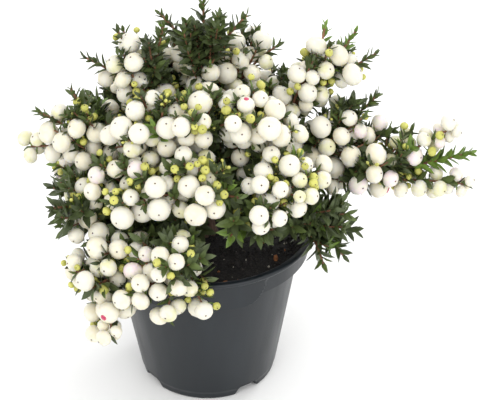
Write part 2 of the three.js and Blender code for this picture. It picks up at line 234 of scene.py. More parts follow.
# The trunk and boughs. A mesh is given as its rows and columns, and a relief as the noise's cell, its depth
# and its salt.
TRUNK_FOOT = 93.0
TRUNK_TOP = 152.0
TRUNK_CAP = 1.5
TRUNK_BASE = 4.2
TRUNK_TIP = 2.4
TRUNK_BOW = 1.1
FLARE = 4.3
FLARE_FALL = 14.0
LOBES = 3
LOBE_DEPTH = 0.15
TRUNK_MESH = (96, 40)
TRUNK_RELIEF = (2.2, 0.34, 500)
BOUGH_ORIGIN = 2.0
BOUGH_SHARE = 0.4
BOUGH_RADII = (1.7, 1.2)
BOUGH_MESH = (40, 14)
BOUGH_RELIEF = (1.6, 0.2, 520)
BOUGH_GRAIN_LENGTH = 60
BARK_SQUEEZE = 0.3
BARK_TROUGH = 2.4

# Growth: each storey has its arch (share of the reach, height), and each mass its name, fork height, turn,
# reach, height, fan, roll and share of fruit
SEED = 20117
HEART = np.array([0.0, 0.0, 125.0])
GOLDEN_TURN = radians(137.508)
STOREYS = (
    ((0.3, 190), (
        ("crown_top", 150, 88, 14, 237, 24, 0, 0.2),
    )),
    ((0.5, 170), (
        ("upper_left", 140, 180, 46, 226, 24, 90, 0.45),
        ("upper_front_left", 132, 222, 52, 184, 20, 50, 0.8),
        ("upper_front", 136, 266, 36, 192, 18, 0, 0.7),
        ("upper_front_right", 130, 320, 50, 186, 20, -40, 0.95),
        ("upper_back_right", 136, 60, 46, 212, 22, 20, 0.55),
        ("upper_back_left", 138, 124, 44, 212, 22, 0, 0.5),
    )),
    ((0.7, 172), (
        ("upper_right", 128, 15, 89, 215, 17, 75, 0.45),
    )),
    ((0.5, 149), (
        ("left", 124, 185, 92, 180, 23, 85, 0.65),
        ("front_left", 112, 228, 74, 150, 20, 10, 0.8),
        ("front_middle", 120, 268, 64, 156, 22, 0, 0.85),
        ("front_right", 118, 316, 76, 151, 22, 15, 1.0),
        ("right", 124, 8, 111, 156, 22, 75, 0.65),
        ("back_right", 126, 40, 84, 172, 22, 0, 0.5),
        ("back", 122, 90, 82, 168, 22, 0, 0.5),
        ("back_left", 124, 138, 84, 172, 22, 0, 0.5),
    )),
    ((0.78, 139), (
        ("left_low", 116, 204, 88, 124, 20, 60, 0.45),
        ("lower_left", 108, 228, 87, 72, 20, 30, 0.95),
        ("front_low_left", 106, 257, 85, 94, 20, -20, 0.95),
        ("front_low", 108, 300, 66, 129, 18, 0, 0.15),
        ("right_low", 108, 336, 87, 102, 18, 10, 0.15),
        ("low_back_left", 110, 160, 92, 116, 20, 0, 0.45),
        ("low_back", 106, 108, 88, 106, 20, 0, 0.45),
        ("low_back_right", 110, 62, 90, 108, 20, 0, 0.45),
    )),
    ((0.5, 128), (
        ("right_far", 116, 0, 153, 149, 18, 75, 0.6),
    )),
)
MASS_NAMES = [row[0] for _, rows in STOREYS for row in rows]
FRUIT_SHARES = np.array([row[-1] for _, rows in STOREYS for row in rows])
FOLIAGE_NODES = tuple(f"foliage_{name}" for name in MASS_NAMES)

# Leaders: the sides that they fan to, how far they run straight on before they bend as a share of their
# length, and how far the outer two are set back as a share of the fan. Shoots may reach past the frame's
# box by the first spare, and keep the second from the pot at those places.
LEADER_SIDES = (0, -1, 1)
LEADER_BEND = 0.45
LEADER_SETBACK = 0.3
REACH_SPARE = 3.0
POT_SPARE = 1.5
POT_PLACES = (0.35, 0.55, 0.75, 1.0)

# Side shoots: how many on a leader, where they start, how far they spread along it, how far draws move
# them, their swing in radians, and the lines of their length by draw and by place. They set off by weights
# of the heading, sideways and up, and lift by weights of the heading, up and outwards. The shares of their
# length say how far they go by each and where they bend. The last two values thin them out on leaders
# without fruit.
SIDE_SLOTS = 4
SIDE_START = 0.06
SIDE_SPAN = 0.56
SIDE_JITTER = 0.5
SIDE_SWING = 2.2
SIDE_LENGTHS = (29, 13)
SIDE_SHRINK = (1, -0.55)
SIDE_AWAY = (0.75, 0.62, 0.2)
SIDE_LIFT = (0.8, 0.8, 0.4)
AWAY_SHARE = 0.6
LIFT_SHARE = 0.42
SHOOT_BEND = 0.5
BARE_SIDES_KEPT = 0.6
BARE_SIDES_SALT = 685

# Fine twigs: the spacing, the span of the limb and the lengths, for boughs, leaders and side shoots. They
# set off by weights of the heading, the way round the limb and up, and end by weights of that, the heading
# and up. At the checked places they keep the margin from berries, on fruitful leaders also over the front
# distance before them. The line of those kept goes by the mass's share of fruit.
TWIG_RULES = (
    (3.2, (0.35, 0.98), (13, 22)),
    (2.0, (0.03, 0.5), (12, 20)),
    (2.1, (0.05, 0.5), (9, 16)),
)
TWIG_JITTER = 0.8
TWIG_SHRINK = (1.15, -0.4)
TWIG_AWAY = (0.8, 0.7, 0.3)
TWIG_LIFT = (1, 0.3, 0.35)
TWIG_MARGIN = -1.0
TWIG_FRONT = 2.5
TWIG_CHECKS = (0.5, 1.0)
TWIGS_KEPT = (0.3, 0.85)
TWIGS_SALT = 680

# Tubes of the foliage: the name, the radii at both ends, the rows and the columns
STEM_RULES = (
    ("leader_stems", (1.2, 0.6), 14, 6),
    ("side_stems", (0.85, 0.45), 9, 5),
    ("fine_twigs", (0.55, 0.32), 5, 4),
)

# Which leaders bear fruit, which are laden to the tip, and the room for leaves at the ends of those that
# bear none. The salts are chosen so that bunches and leafy sprays fall about where the real plant has them.
FRUITFUL_SALT = 804798
FRUITFUL_FACTOR = 0.95
LADEN_SALT = 14891
LADEN_SHARE = 0.14
LEAFY_PLACES = np.array([0.5, 0.65, 0.8, 0.95])
LEAFY_ROOM = 7.0
LEAFY_FRONT = 9.0

# Berries along shoots: the spacing, the place of the first, the place of the last on masses that bear
# nothing and on those that bear most, the shortest and longest stalk, and the salt of their draws
RIPE_ON_LEADERS = (0.8, 0.08, (0.42, 1.08), (0.6, 3.6), 700)
RIPE_ON_SIDES = (0.9, 0.06, (0.45, 0.9), (0.5, 3.0), 710)
RIPE_AT_TIPS = (0.5, 0.85, (0.99, 0.99), (0.5, 2.2), 740)
UNRIPE_ON_LEADERS = (0.7, 0.3, (0.5, 1.15), (2.0, 7.5), 720)
UNRIPE_ON_SIDES = (0.7, 0.3, (0.65, 1.0), (1.0, 6.5), 730)

# Radii of the berries: shares of the middling berry's for the ripe ones, shares of these for the ones at
# the tips, and millimetres for the unripe ones
RIPE_SIZES = (0.74, 1.26)
TIP_SIZES = (0.75, 0.9)
UNRIPE_LEADER_SIZES = (1.9, 3.3)
UNRIPE_SIDE_SIZES = (1.8, 3.2)

# The shoots that bear, as a factor on their mass's share of fruit and the salt of their draws, and the
# shares of their bunches that are kept
RIPE_SIDES = (1.8, 691)
UNRIPE_LEADERS = (1.6, 692)
UNRIPE_SIDES = (1.1, 693)
RIPE_SPRAYS = 0.95
UNRIPE_SPRAYS = 0.62

# How far berries may press into each other, the last place on a shoot, the stretch of it that one bunch
# takes up, how far past the frame's box a centre may lie, how far it keeps from the pot as a share of the
# radius, how far in front of a berry leaves are cleared, and how far a draw moves a berry in their order
RIPE_SQUEEZE = 1.3
UNRIPE_SQUEEZE = 0.5
LAST_PLACE = 0.99
BUNCH_LENGTH = 9.0
BERRY_SPARE = 4.0
BERRY_POT_SPARE = 0.9
BERRY_FRONT = 5.0
ORDER_SCATTER = 5.0

# A berry stands off by weights of the way round its shoot, the heading, outwards and up, and looks by
# weights of that, outwards and a level wander. Its size goes by a power of its own draw mixed with its
# shoot's.
BERRY_ASIDE = (1, 0.3, 0.4, -0.12)
BERRY_FACING = (0.7, 0.75, 1)
BERRY_WANDER = 0.4
OWN_SIZE = 0.65
SHARED_SIZE = 0.35
SIZE_POWER = 1.5

# The form of the berries, their eyes and their blotches. A mesh is given as its columns and rows.
BERRY_SQUAT = 0.87
BERRY_DIMPLE = 0.09
DIMPLE_WIDTH = 0.3
BERRY_EYE_HEIGHT = BERRY_SQUAT - BERRY_DIMPLE + 0.01
BERRY_LOBES = 5
BERRY_LOBE_DEPTH = 0.012
BERRY_LOBE_TURN = 40
BERRY_MESH = (15, 7)
UNRIPE_MESH = (8, 5)
EYE_MESH = (6, 2)
EYE_SQUAT = 0.45
EYE_SIZES = (0.55, 0.42)
BLOTCH_MESH = (10, 3)
BLOTCH_SQUAT = 0.3
BLOTCH_SIZE = 0.3
BLOTCHED_FROM = 0.984

# The two colours of their finishes, and the tint that turns white to cream
EYE_COLOURS = ((0.05, 0.03, 0.02), (0.15, 0.09, 0.06))
BLOTCH_COLOURS = ((0.42, 0.015, 0.07), (0.62, 0.10, 0.18))
CREAM_TINT = (1, 0.97, 0.88)

# The berries' stalks: the columns and rows, the radii at both ends, how far the middle bends up, and how
# far from the berry's centre they end, as a share of its radius
STALK_COLUMNS = 4
STALK_ROWS = 4
STALK_RADII = (0.34, 0.5)
STALK_LIFT = 0.4
STALK_SEAT = 0.8

# Flower buds: the form, the salt of their draws, the factor on their mass's share of fruit, how many a
# cluster has, the line of the first one's place and the step to the next, the radii, the line of the
# stalks' length, the weights of the way round the twig, the heading and up, and the margins from berries
# and from the pot
BUD_MESH = (8, 4)
BUD_SQUAT = 1.25
BUD_SALT = 800
BUD_SHARE = 0.2
FEWEST_BUDS = 3
MORE_BUDS = 4
BUD_PLACE = (0.55, 0.12)
BUD_STEP = 0.07
BUD_RADII = (0.75, 1.25)
BUD_STALKS = (3.0, 1.6)
BUD_FACING = (0.8, 0.7, 0.3)
BUD_MARGIN = 0.6
BUD_POT_SPARE = 2.0
BUD_STALK_RADII = (0.22, 0.26)
BUD_STALK_ROWS = 3

# How the ripe berries' colours are dealt out by spray: white below the first, turning above the second
# where they are small, and tinted below a share that is larger low on the right
WHITE_SPRAYS = 0.43
TURNING_SPRAYS = 0.74
TURNING_SMALLEST = 0.6
TINTED_SPRAYS = 0.03
TINTED_SPRAYS_RIGHT = 0.42
RIGHT_FROM = 62
RIGHT_BELOW = 165

# Leaves on leaders, side shoots and twigs: the share of a full leaf's length, the spacing, the place of the
# first and the salt of their draws
LEAF_RULES = (
    (1, 1.15, 0.2, 900),
    (0.98, 1.2, 0.1, 920),
    (0.9, 1.15, 0.06, 940),
)

# The fewest leaves on a shoot, the power that crowds them towards its tip, and how far draws turn them
FEWEST_LEAVES = 4
LEAF_CROWDING = 0.88
LEAF_JITTER = 0.5

# How a leaf stands: its lean in degrees, what that loses between two places along the shoot, its drawn
# spread, how far it lifts, twists and rolls, and how deep its foot sits in the shoot
LEAF_LEAN = 60
LEAF_CLOSING = ((12, 0.3, 0.8), (22, 0.82, 1.0))
LEAF_LEAN_SPREAD = 20
LEAF_LIFT = 0.12
LEAF_TWIST = 0.05
LEAF_ROLL = 0.9
LEAF_SEAT = 0.2

# A leaf's size: its factors low and high on the plant and the heights between which they change, the lines
# by draw and towards the shoot's tip, and the lines of its width and curl
LEAF_FACTORS = (1.14, 0.86)
LEAF_HEIGHTS = (105, 205)
LEAF_SIZES = (0.8, 0.34)
LEAF_TIPS = (0.75, 1.0)
LEAF_TIP_SHRINK = (1, -0.4)
LEAF_WIDTH = (0.36, 0.07)
LEAF_CURL = (0.02, 0.14)

# The sprays that have young and outer leaves, and the lines of the places where these begin
YOUNG_SPRAYS = 0.1
YOUNG_FROM = (0.35, 0.3)
OUTER_SPRAYS = 0.75
OUTER_FROM = (0.5, 0.35)

# At these shares of a leaf it keeps these margins from berries, from berries behind it and from the pot.
LEAF_CHECKS = (
    (0.55, 0.1, -1.2, 1.0),
    (1, -0.4, -2.0, 0.4),
)

# The share of the leaves before a berry that stay, and the number of parts in which points are checked
KEPT_BEFORE_FRUIT = 0.36
CHECK_PARTS = 24

# The blade: its stations along the leaf, the share of the full width at each, how much its edges rise for
# each step out, and its thickness
LEAF_STATIONS = np.array([[0.15], [0.44], [0.78]])
LEAF_WIDTHS = np.array([[0.55], [1.0], [0.62]])
LEAF_FOLD = 0.34
LEAF_THICKNESS = 0.32

# The masses of each layer of the crown, from the first to before the last
LEAF_LAYERS = {"top": (0, 8), "middle": (8, 16), "low": (16, len(MASS_NAMES))}

# Finishes: between these values of a noise the roughness changes, and its noise is that much finer
NOISE_LOW = 0.3
NOISE_HIGH = 0.7
ROUGHNESS_SCALE = 1.7

# The stage, in metres but for the lens. Each lamp has its name, place, size and share of the key lamp's
# power.
LAMPS = (
    ("key", (-0.5, -1.3, 1.2), 0.9, 1),
    ("fill", (0.9, -1.1, 0.8), 0.9, 0.6),
    ("back", (0.8, 0.9, 1.1), 0.5, 1.1),
)
LAMP_TARGET = np.array([0.02, 0.0, 0.13])
CAMERA_PLACE = (0.0262, -0.6636, 0.5268)
CAMERA_PITCH = radians(58.32)
CAMERA_LENS = 95.1
FLOOR_HALF = 4.0
FLOOR_COLOURS = ((0.86, 0.86, 0.855), (0.9, 0.9, 0.895))


def chance(*keys):
    """Even draws from 0 to 1, always the same for the same whole numbers: each key is mixed into a 32-bit
    number by two odd multipliers and two shifts."""
    number = np.uint32(SEED)
    with np.errstate(over="ignore"):
        for key in keys:
            number = (number ^ np.asarray(key).astype(np.uint32)) * np.uint32(0x9E3779B1)
            number = number ^ (number >> np.uint32(15))
            number = number * np.uint32(0x85EBCA77)
            number = number ^ (number >> np.uint32(13))
    return number.astype(np.float64) / 2.0**32


def lattice_noise(points, cell, salt):
    """Smooth noise from 0 to 1: a draw at each corner of a cubic lattice with cells of that size, blended
    by the eased fractions along the three axes."""
    scaled = points / cell + LATTICE_SHIFT
    corner = np.floor(scaled).astype(np.int64)
    part = scaled - corner
    eased = part * part * (3 - 2 * part)
    total = 0.0
    for offset in np.ndindex(2, 2, 2):
        weight = np.prod(np.where(offset, eased, 1 - eased), axis=-1)
        total = total + weight * chance(salt, *np.moveaxis(corner + offset, -1, 0))
    return total


def layered_noise(points, cell, salt, layers=3):
    """Lattice noise from -1 to 1 summed over layers, each half the cell and half the height of the last."""
    heights = 0.5 ** np.arange(layers)
    total = sum(h * lattice_noise(points, cell * h, salt + i) for i, h in enumerate(heights))
    return 2 * total / heights.sum() - 1


def unit(vectors):
    """Each vector divided by its length."""
    return vectors / np.linalg.norm(vectors, axis=-1, keepdims=True)


def blend(start, end, share):
    """Start moved to end by the share between them."""
    return start + (end - start) * share


def linear(line, share):
    """The line's value at 0 plus the share of what it adds on the way to 1."""
    return line[0] + line[1] * share


def mixed(weights, *directions):
    """The unit vector along the sum of the directions, each times its weight."""
    return unit(sum(weight * direction for weight, direction in zip(weights, directions)))


def smooth_step(low, high, value):
    """0 below low and 1 above high, eased between them."""
    share = np.clip((value - low) / (high - low), 0, 1)
    return share * share * (3 - 2 * share)


def polar(turn, reach, height):
    """The point at a turn in radians about the upright axis, a distance from it and a height."""
    return np.stack(np.broadcast_arrays(reach * np.cos(turn), reach * np.sin(turn), height), axis=-1)


def turns(count):
    """That many turns in radians, evenly round the circle."""
    return 2 * pi * np.arange(count) / count


def circles(side, lift, columns):
    """Unit circles as rings of points, one in the plane of each pair of a side and a lift."""
    turn = turns(columns)
    return np.cos(turn)[:, None] * side[:, None] + np.sin(turn)[:, None] * lift[:, None]


def across(axis):
    """A unit vector square to each axis: its cross product with up, or with x where it is nearly
    upright."""
    upright = np.abs(axis[..., 2:]) > NEARLY_UPRIGHT
    return unit(np.cross(axis, np.where(upright, [1.0, 0.0, 0.0], UP)))


class Many:
    """Many things at once. Each field of a kind is an array with a row for each thing."""

    def __len__(self):
        """How many things there are."""
        return len(getattr(self, fields(self)[0].name))

    def pick(self, which):
        """The things at these indices, or where this mask holds."""
        return type(self)(*(getattr(self, field.name)[which] for field in fields(self)))

    def children(self, counts):
        """For that many children each: every child's parent, the parent's index, and the child's number
        among its siblings."""
        counts = np.broadcast_to(counts, len(self))
        owner = np.repeat(np.arange(len(self)), counts)
        number = np.arange(len(owner)) - np.repeat(np.cumsum(counts) - counts, counts)
        return self.pick(owner), owner, number


def joined(groups):
    """The things of several groups of one kind as one group."""
    kind = type(groups[0])
    names = [field.name for field in fields(kind)]
    return kind(*(np.concatenate([getattr(group, name) for group in groups]) for name in names))


@dataclass
class Shoots(Many):
    """Many shoots. Each is a quadratic curve that leaves root towards bend and ends at tip. The numbers of
    its mass, leader, slot and twig key its draws."""

    root: np.ndarray
    bend: np.ndarray
    tip: np.ndarray
    mass: np.ndarray
    leader: np.ndarray
    slot: np.ndarray
    twig: np.ndarray

    def point(self, place):
        """Quadratic curve: the three control points weighted by (1-t)^2, 2t(1-t) and t^2."""
        t = np.asarray(place)[..., None]
        return (1 - t) ** 2 * self.root + 2 * t * (1 - t) * self.bend + t * t * self.tip

    def heading(self, place):
        """The curve's unit tangent: the two control legs weighted by 1-t and t."""
        t = np.asarray(place)[..., None]
        return unit((1 - t) * (self.bend - self.root) + t * (self.tip - self.bend))

    def length(self):
        """The straight distance from root to tip."""
        return np.linalg.norm(self.tip - self.root, axis=-1)

    def sideways(self):
        """The unit normal of the curve's own plane, which stays the same along it."""
        legs = np.cross(self.bend - self.root, self.tip - self.root)
        flat = np.linalg.norm(legs, axis=-1, keepdims=True) < NEARLY_STRAIGHT
        return unit(np.where(flat, across(self.tip - self.root), legs))

    def round_about(self, place, turn):
        """The unit vector square to the curve at that turn about it."""
        side = self.sideways()
        lift = np.cross(self.heading(place), side)
        return np.cos(turn)[..., None] * side + np.sin(turn)[..., None] * lift

    def draw(self, salt, *more):
        """An even draw for each shoot."""
        return chance(self.mass, self.leader, self.slot, self.twig, salt, *more)


@dataclass
class Balls(Many):
    """Many berries or buds: where the stalk leaves its shoot, the centre, the radius, the direction from
    stalk to eye, the draw that its spray shares, and a draw of its own."""

    stem: np.ndarray
    centre: np.ndarray
    radius: np.ndarray
    facing: np.ndarray
    spray: np.ndarray
    keep: np.ndarray


@dataclass
class Leaves(Many):
    """Many leaves: the mass, the leader and the foot of each, the directions along it and out of its upper
    face, its length and width, how far its tip curls back, its age as an index into the kinds of leaves,
    and a draw of its own."""

    mass: np.ndarray
    leader: np.ndarray
    foot: np.ndarray
    along: np.ndarray
    upper: np.ndarray
    length: np.ndarray
    width: np.ndarray
    curl: np.ndarray
    age: np.ndarray
    keep: np.ndarray


@dataclass
class Growth:
    """The plant's limbs."""

    boughs: Shoots
    leaders: Shoots
    sides: Shoots
    twigs: Shoots


def in_pot(points, clearance):
    """True where a sphere of that radius would touch the pot or the soil: it lies below the rim and inside
    the pot's outer face at its height, and it is not in the hollow above the soil."""
    out = np.hypot(points[..., 0], points[..., 1])
    height = points[..., 2]
    wall = blend(FOOT_RADIUS, SHOULDER_RADIUS, np.clip(height / BAND_BOTTOM, 0, 1))
    skin = np.where(height + clearance > PANEL_BOTTOM, RIM_RADIUS, wall)
    over_soil = (out + clearance < BAND_RADIUS - WALL) & (height - clearance > SOIL_TOP)
    return (height - clearance < RIM_TOP) & (out - clearance < skin) & ~over_soil


def in_box(points, spare):
    """True where a point lies in the frame's box, grown on every side by that much."""
    low, high = (np.array(corner) / MM for corner in CAD_BOX)
    return ((points > low - spare) & (points < high + spare)).all(axis=-1)


def with_room(shoots):
    """The shoots whose middle and outer parts stay out of the pot, and whose tips stay in the frame's box
    or little past it."""
    free = in_box(shoots.tip, REACH_SPARE)
    for place in POT_PLACES:
        free &= ~in_pot(shoots.point(place), POT_SPARE)
    return shoots.pick(free)


@cache
def grown():
    """The source's rule. A mass's axis rises from the trunk over its storey's arch to its end; the bough is
    the axis up to its fork, and three leaders fan out from there to the end and to both sides of it. Here
    the rule goes on: side shoots leave the leaders, and finer twigs leave boughs, leaders and side
    shoots."""
    numbers = np.array([row[1:] + arch for arch, rows in STOREYS for row in rows], float)
    fork, turn, reach, height, fan, roll, _, arch_out, arch_height = numbers.T
    turn, roll = np.radians(turn), np.radians(roll)[:, None]
    masses = np.arange(len(numbers))
    none = np.zeros_like(masses)
    start = polar(turn, BOUGH_ORIGIN, fork)
    arch = polar(turn, reach * arch_out, arch_height)
    end = polar(turn, reach, height)
    axis = Shoots(start, arch, end, masses, none, none, none)
    parting = axis.point(BOUGH_SHARE)
    end_heading = axis.heading(1)
    bend = blend(start, arch, BOUGH_SHARE)
    boughs = Shoots(start, bend, parting, masses, none + len(LEADER_SIDES), none, none)

    lateral = polar(turn + pi / 2, 1.0, 0.0)
    spread = np.cos(roll) * lateral + np.sin(roll) * np.cross(end_heading, lateral)
    outer = unit(np.cross(spread, end_heading))
    outer = outer * np.where(np.sum(outer * (parting - HEART), axis=-1) < 0, -1, 1)[:, None]

    _, owner, number = axis.children(len(LEADER_SIDES))
    side = np.array(LEADER_SIDES, float)[number][:, None]
    fanned = side * spread[owner] - LEADER_SETBACK * np.abs(side) * end_heading[owner]
    tip = end[owner] + fan[owner, None] * fanned
    root = parting[owner]
    length = np.linalg.norm(tip - root, axis=-1, keepdims=True)
    bend = root + LEADER_BEND * length * axis.heading(BOUGH_SHARE)[owner]
    order = np.zeros_like(owner)
    leaders = Shoots(root, bend, tip, owner, side[:, 0].astype(int) + 1, order + SIDE_SLOTS, order)

    sides = with_room(side_shoots(leaders, spread, outer))
    sides = sides.pick(fruitful(sides) | (sides.draw(BARE_SIDES_SALT) < BARE_SIDES_KEPT))
    limbs = (boughs, leaders, sides)
    twigs = with_room(joined([twigs_from(limb, *rule) for limb, rule in zip(limbs, TWIG_RULES)]))
    twigs = twigs.pick(twigs.draw(TWIGS_SALT) < linear(TWIGS_KEPT, FRUIT_SHARES[twigs.mass]))
    return Growth(boughs, leaders, sides, twigs)


def side_shoots(leaders, spread, outer):
    """Four shoots along each leader: each swings between the mass's outer face and its spread, sets off at
    about 40 degrees to the leader and lifts towards the light at its tip."""
    parent, _, slot = leaders.children(SIDE_SLOTS)
    keys = (parent.mass, parent.leader, slot)
    place = SIDE_START + SIDE_SPAN * (slot + SIDE_JITTER * chance(*keys, 1)) / SIDE_SLOTS
    swing = SIDE_SWING * (chance(*keys, 3) - 0.5)[:, None]
    face = np.where((slot + parent.leader - 1) % 3 == 0, -1, 1)[:, None]
    root = parent.point(place)
    heading = parent.heading(place)
    sideways = unit(outer[parent.mass] * face * np.cos(swing) + spread[parent.mass] * np.sin(swing))
    away = mixed(SIDE_AWAY, heading, sideways, UP)
    lift = mixed(SIDE_LIFT, heading, UP, unit(root - HEART))
    length = (linear(SIDE_LENGTHS, chance(*keys, 2)) * linear(SIDE_SHRINK, place))[:, None]
    tip = root + AWAY_SHARE * length * away + LIFT_SHARE * length * lift
    return Shoots(root, root + SHOOT_BEND * length * away, tip, *keys, np.zeros_like(slot))


def twigs_from(limbs, spacing, span, lengths):
    """Finer twigs: one each spacing leaves a shoot over that span of it, by the golden turn. It leans along
    the shoot and lifts a little. Its length is drawn between the two given, and is less further along the
    shoot, so that it stays within the shoots' own reach."""
    counts = np.maximum((limbs.length() * (span[1] - span[0]) / spacing).astype(int), 1)
    parent, owner, number = limbs.children(counts)
    keys = (parent.mass, parent.leader, parent.slot, number + 1)
    place = span[0] + (span[1] - span[0]) * (number + TWIG_JITTER * chance(*keys, 1)) / counts[owner]
    turn = GOLDEN_TURN * number + 2 * pi * chance(*keys[:3], 2)
    root = parent.point(place)
    heading = parent.heading(place)
    away = mixed(TWIG_AWAY, heading, parent.round_about(place, turn), UP)
    length = (blend(*lengths, chance(*keys, 3)) * linear(TWIG_SHRINK, place))[:, None]
    tip = root + length * mixed(TWIG_LIFT, away, heading, UP)
    return Shoots(root, root + SHOOT_BEND * length * away, tip, *keys)


def closed_skin(rows, columns):
    """Faces of a closed skin: rings of points that close on themselves, one row after the other, and a last
    pair of points that close the first and the last ring. Quads between rings, triangles at both ends."""
    ring = np.arange(rows * columns).reshape(rows, columns)
    beside = np.roll(ring, -1, axis=1)
    quads = np.stack([ring[:-1], beside[:-1], beside[1:], ring[1:]], axis=-1).reshape(-1, 4)
    first, last = np.full(columns, rows * columns), np.full(columns, rows * columns + 1)
    caps = np.concatenate([
        np.stack([first, beside[0], ring[0]], axis=-1),
        np.stack([last, ring[-1], beside[-1]], axis=-1),
    ])
    return quads, caps


def new_object(name, data):
    """An object with that data in the scene."""
    made = bpy.data.objects.new(name, data)
    bpy.context.scene.collection.objects.link(made)
    return made


def put_copies(name, rings, first, last, material, replaces=FOLIAGE_NODES, slot=None, sharp=None):
    """Many closed shapes as one mesh piece at the origin. The rings are (copies, rows, columns, 3), and the
    first and last points close their ends. The piece gets its finish, and says what it replaces in the
    frame."""
    copies, rows, columns, _ = rings.shape
    points = np.concatenate([rings.reshape(copies, -1, 3), first[:, None], last[:, None]], axis=1)
    shift = points.shape[1] * np.arange(copies)[:, None, None]
    quads, caps = closed_skin(rows, columns)
    corners = np.concatenate([(quads + shift).ravel(), (caps + shift).ravel()]).astype(np.int32)
    sizes = np.repeat([4, 3], [copies * len(quads), copies * len(caps)])

    mesh = bpy.data.meshes.new(name)
    mesh.vertices.add(points.size // 3)
    mesh.vertices.foreach_set("co", (points * MM).astype(np.float32).ravel())
    mesh.loops.add(len(corners))
    mesh.loops.foreach_set("vertex_index", corners)
    mesh.polygons.add(len(sizes))
    mesh.polygons.foreach_set("loop_start", (np.cumsum(sizes) - sizes).astype(np.int32))
    mesh.update(calc_edges=True)
    mesh.shade_smooth()
    if sharp is not None:
        mesh.set_sharp_from_angle(angle=sharp)
    mesh.materials.append(material)
    piece = new_object(name, mesh)
    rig.ride(piece, ROOT_BODY)
    if replaces:
        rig.replaces(piece, *replaces)
    if slot:
        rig.slot(piece, slot)


def put_round(name, rings, first, last, material, **words):
    """One closed body about the upright axis, whose ends close at these heights."""
    put_copies(name, rings[None], first * UP[None], last * UP[None], material, **words)


def tube_rings(shoots, radii, rows, columns):
    """Rings about each shoot: at each place, a circle square to the curve. Its radius tapers from the first
    of the radii to the second."""
    parent, _, number = shoots.children(rows)
    place = np.linspace(0, 1, rows)[number]
    side = parent.sideways()
    lift = np.cross(parent.heading(place), side)
    radius = blend(radii[0], radii[1], place)[:, None, None]
    rings = parent.point(place)[:, None] + radius * circles(side, lift, columns)
    return rings.reshape(len(shoots), rows, columns, 3)


def put_tubes(name, shoots, radii, rows, columns, material, slot=None):
    """The shoots as tapering tubes that end in points."""
    put_copies(name, tube_rings(shoots, radii, rows, columns), shoots.root, shoots.tip, material, slot=slot)


def put_stalks(name, stems, ends, lift, radii, rows, material):
    """Thin stalks from stems to ends, bent up in the middle by the lift."""
    none = np.zeros(len(stems), int)
    stalks = Shoots(stems, blend(stems, ends, 0.5) + lift * UP, ends, none, none, none, none)
    put_tubes(name, stalks, radii, rows, STALK_COLUMNS, material)


def with_inputs(node, **values):
    """Sets each value on the node's input of that name, where an underscore stands for a space."""
    for name, value in values.items():
        node.inputs[name.replace("_", " ")].default_value = value
    return node


def shade(colour, factor):
    """The colour made darker or lighter, as red, green, blue and alpha."""
    return tuple(min(channel * factor, 1.0) for channel in colour[:3]) + (1.0,)


def toned(colour, *stops):
    """Stops that have one colour in several shades: each is given as its position and its factor."""
    return [(position, shade(colour, factor)) for position, factor in stops]


def mottled(name, stops, scale, roughness, bump_scale, bump_depth, stretch=(1, 1, 1), detail=3, **sockets):
    """A finish whose colour runs through the stops by one noise, whose roughness runs between two values by
    another, and whose bump of that depth in metres comes from a third, finer one. The noises lie on Object
    coordinates times the stretch, with features about one over scale metres wide. The sockets are set on
    the shader itself."""
    material = bpy.data.materials.new(name)
    material.use_nodes = True
    tree = material.node_tree
    shader = with_inputs(tree.nodes["Principled BSDF"], Roughness=sum(roughness) / 2, **sockets)
    mapping = with_inputs(tree.nodes.new("ShaderNodeMapping"), Scale=stretch)
    tree.links.new(tree.nodes.new("ShaderNodeTexCoord").outputs["Object"], mapping.inputs["Vector"])

    def drive(socket, noise_scale, noise_detail):
        """Feeds the socket from a noise of its own."""
        noise = with_inputs(tree.nodes.new("ShaderNodeTexNoise"), Scale=noise_scale, Detail=noise_detail)
        tree.links.new(mapping.outputs["Vector"], noise.inputs["Vector"])
        tree.links.new(noise.outputs["Fac"], socket)

    ramp = tree.nodes.new("ShaderNodeValToRGB")
    elements = ramp.color_ramp.elements
    while len(elements) < len(stops):
        elements.new(0.5)
    for element, (position, colour) in zip(elements, stops):
        element.position = position
        element.color = shade(colour, 1)
    drive(ramp.inputs["Fac"], scale, detail)
    tree.links.new(ramp.outputs["Color"], shader.inputs["Base Color"])

    span = with_inputs(tree.nodes.new("ShaderNodeMapRange"), From_Min=NOISE_LOW, From_Max=NOISE_HIGH,
                       To_Min=roughness[0], To_Max=roughness[1])
    drive(span.inputs["Value"], scale * ROUGHNESS_SCALE, 2)
    tree.links.new(span.outputs["Result"], shader.inputs["Roughness"])

    bump = with_inputs(tree.nodes.new("ShaderNodeBump"), Strength=1.0, Distance=bump_depth)
    drive(bump.inputs["Height"], bump_scale, 2)
    tree.links.new(bump.outputs["Normal"], shader.inputs["Normal"])
    return material


def notch_share(turn):
    """How far each turn lies in one of the foot's four notches: 1 across its width, easing to 0 up its
    sides."""
    apart = np.abs((turn[:, None] - NOTCH_TURNS + pi) % (2 * pi) - pi).min(axis=1) * FOOT_RADIUS
    return 1 - smooth_step(NOTCH_WIDTH / 2, NOTCH_WIDTH / 2 + NOTCH_SLOPE, apart)


def wall_and_band(height):
    """Outer radii of the wall's straight taper and of the rim band with its own draft."""
    wall = blend(FOOT_RADIUS, SHOULDER_RADIUS, height / BAND_BOTTOM)
    return wall, BAND_RADIUS - BAND_DRAFT * (LIP_BOTTOM - height) / (LIP_BOTTOM - BAND_BOTTOM)


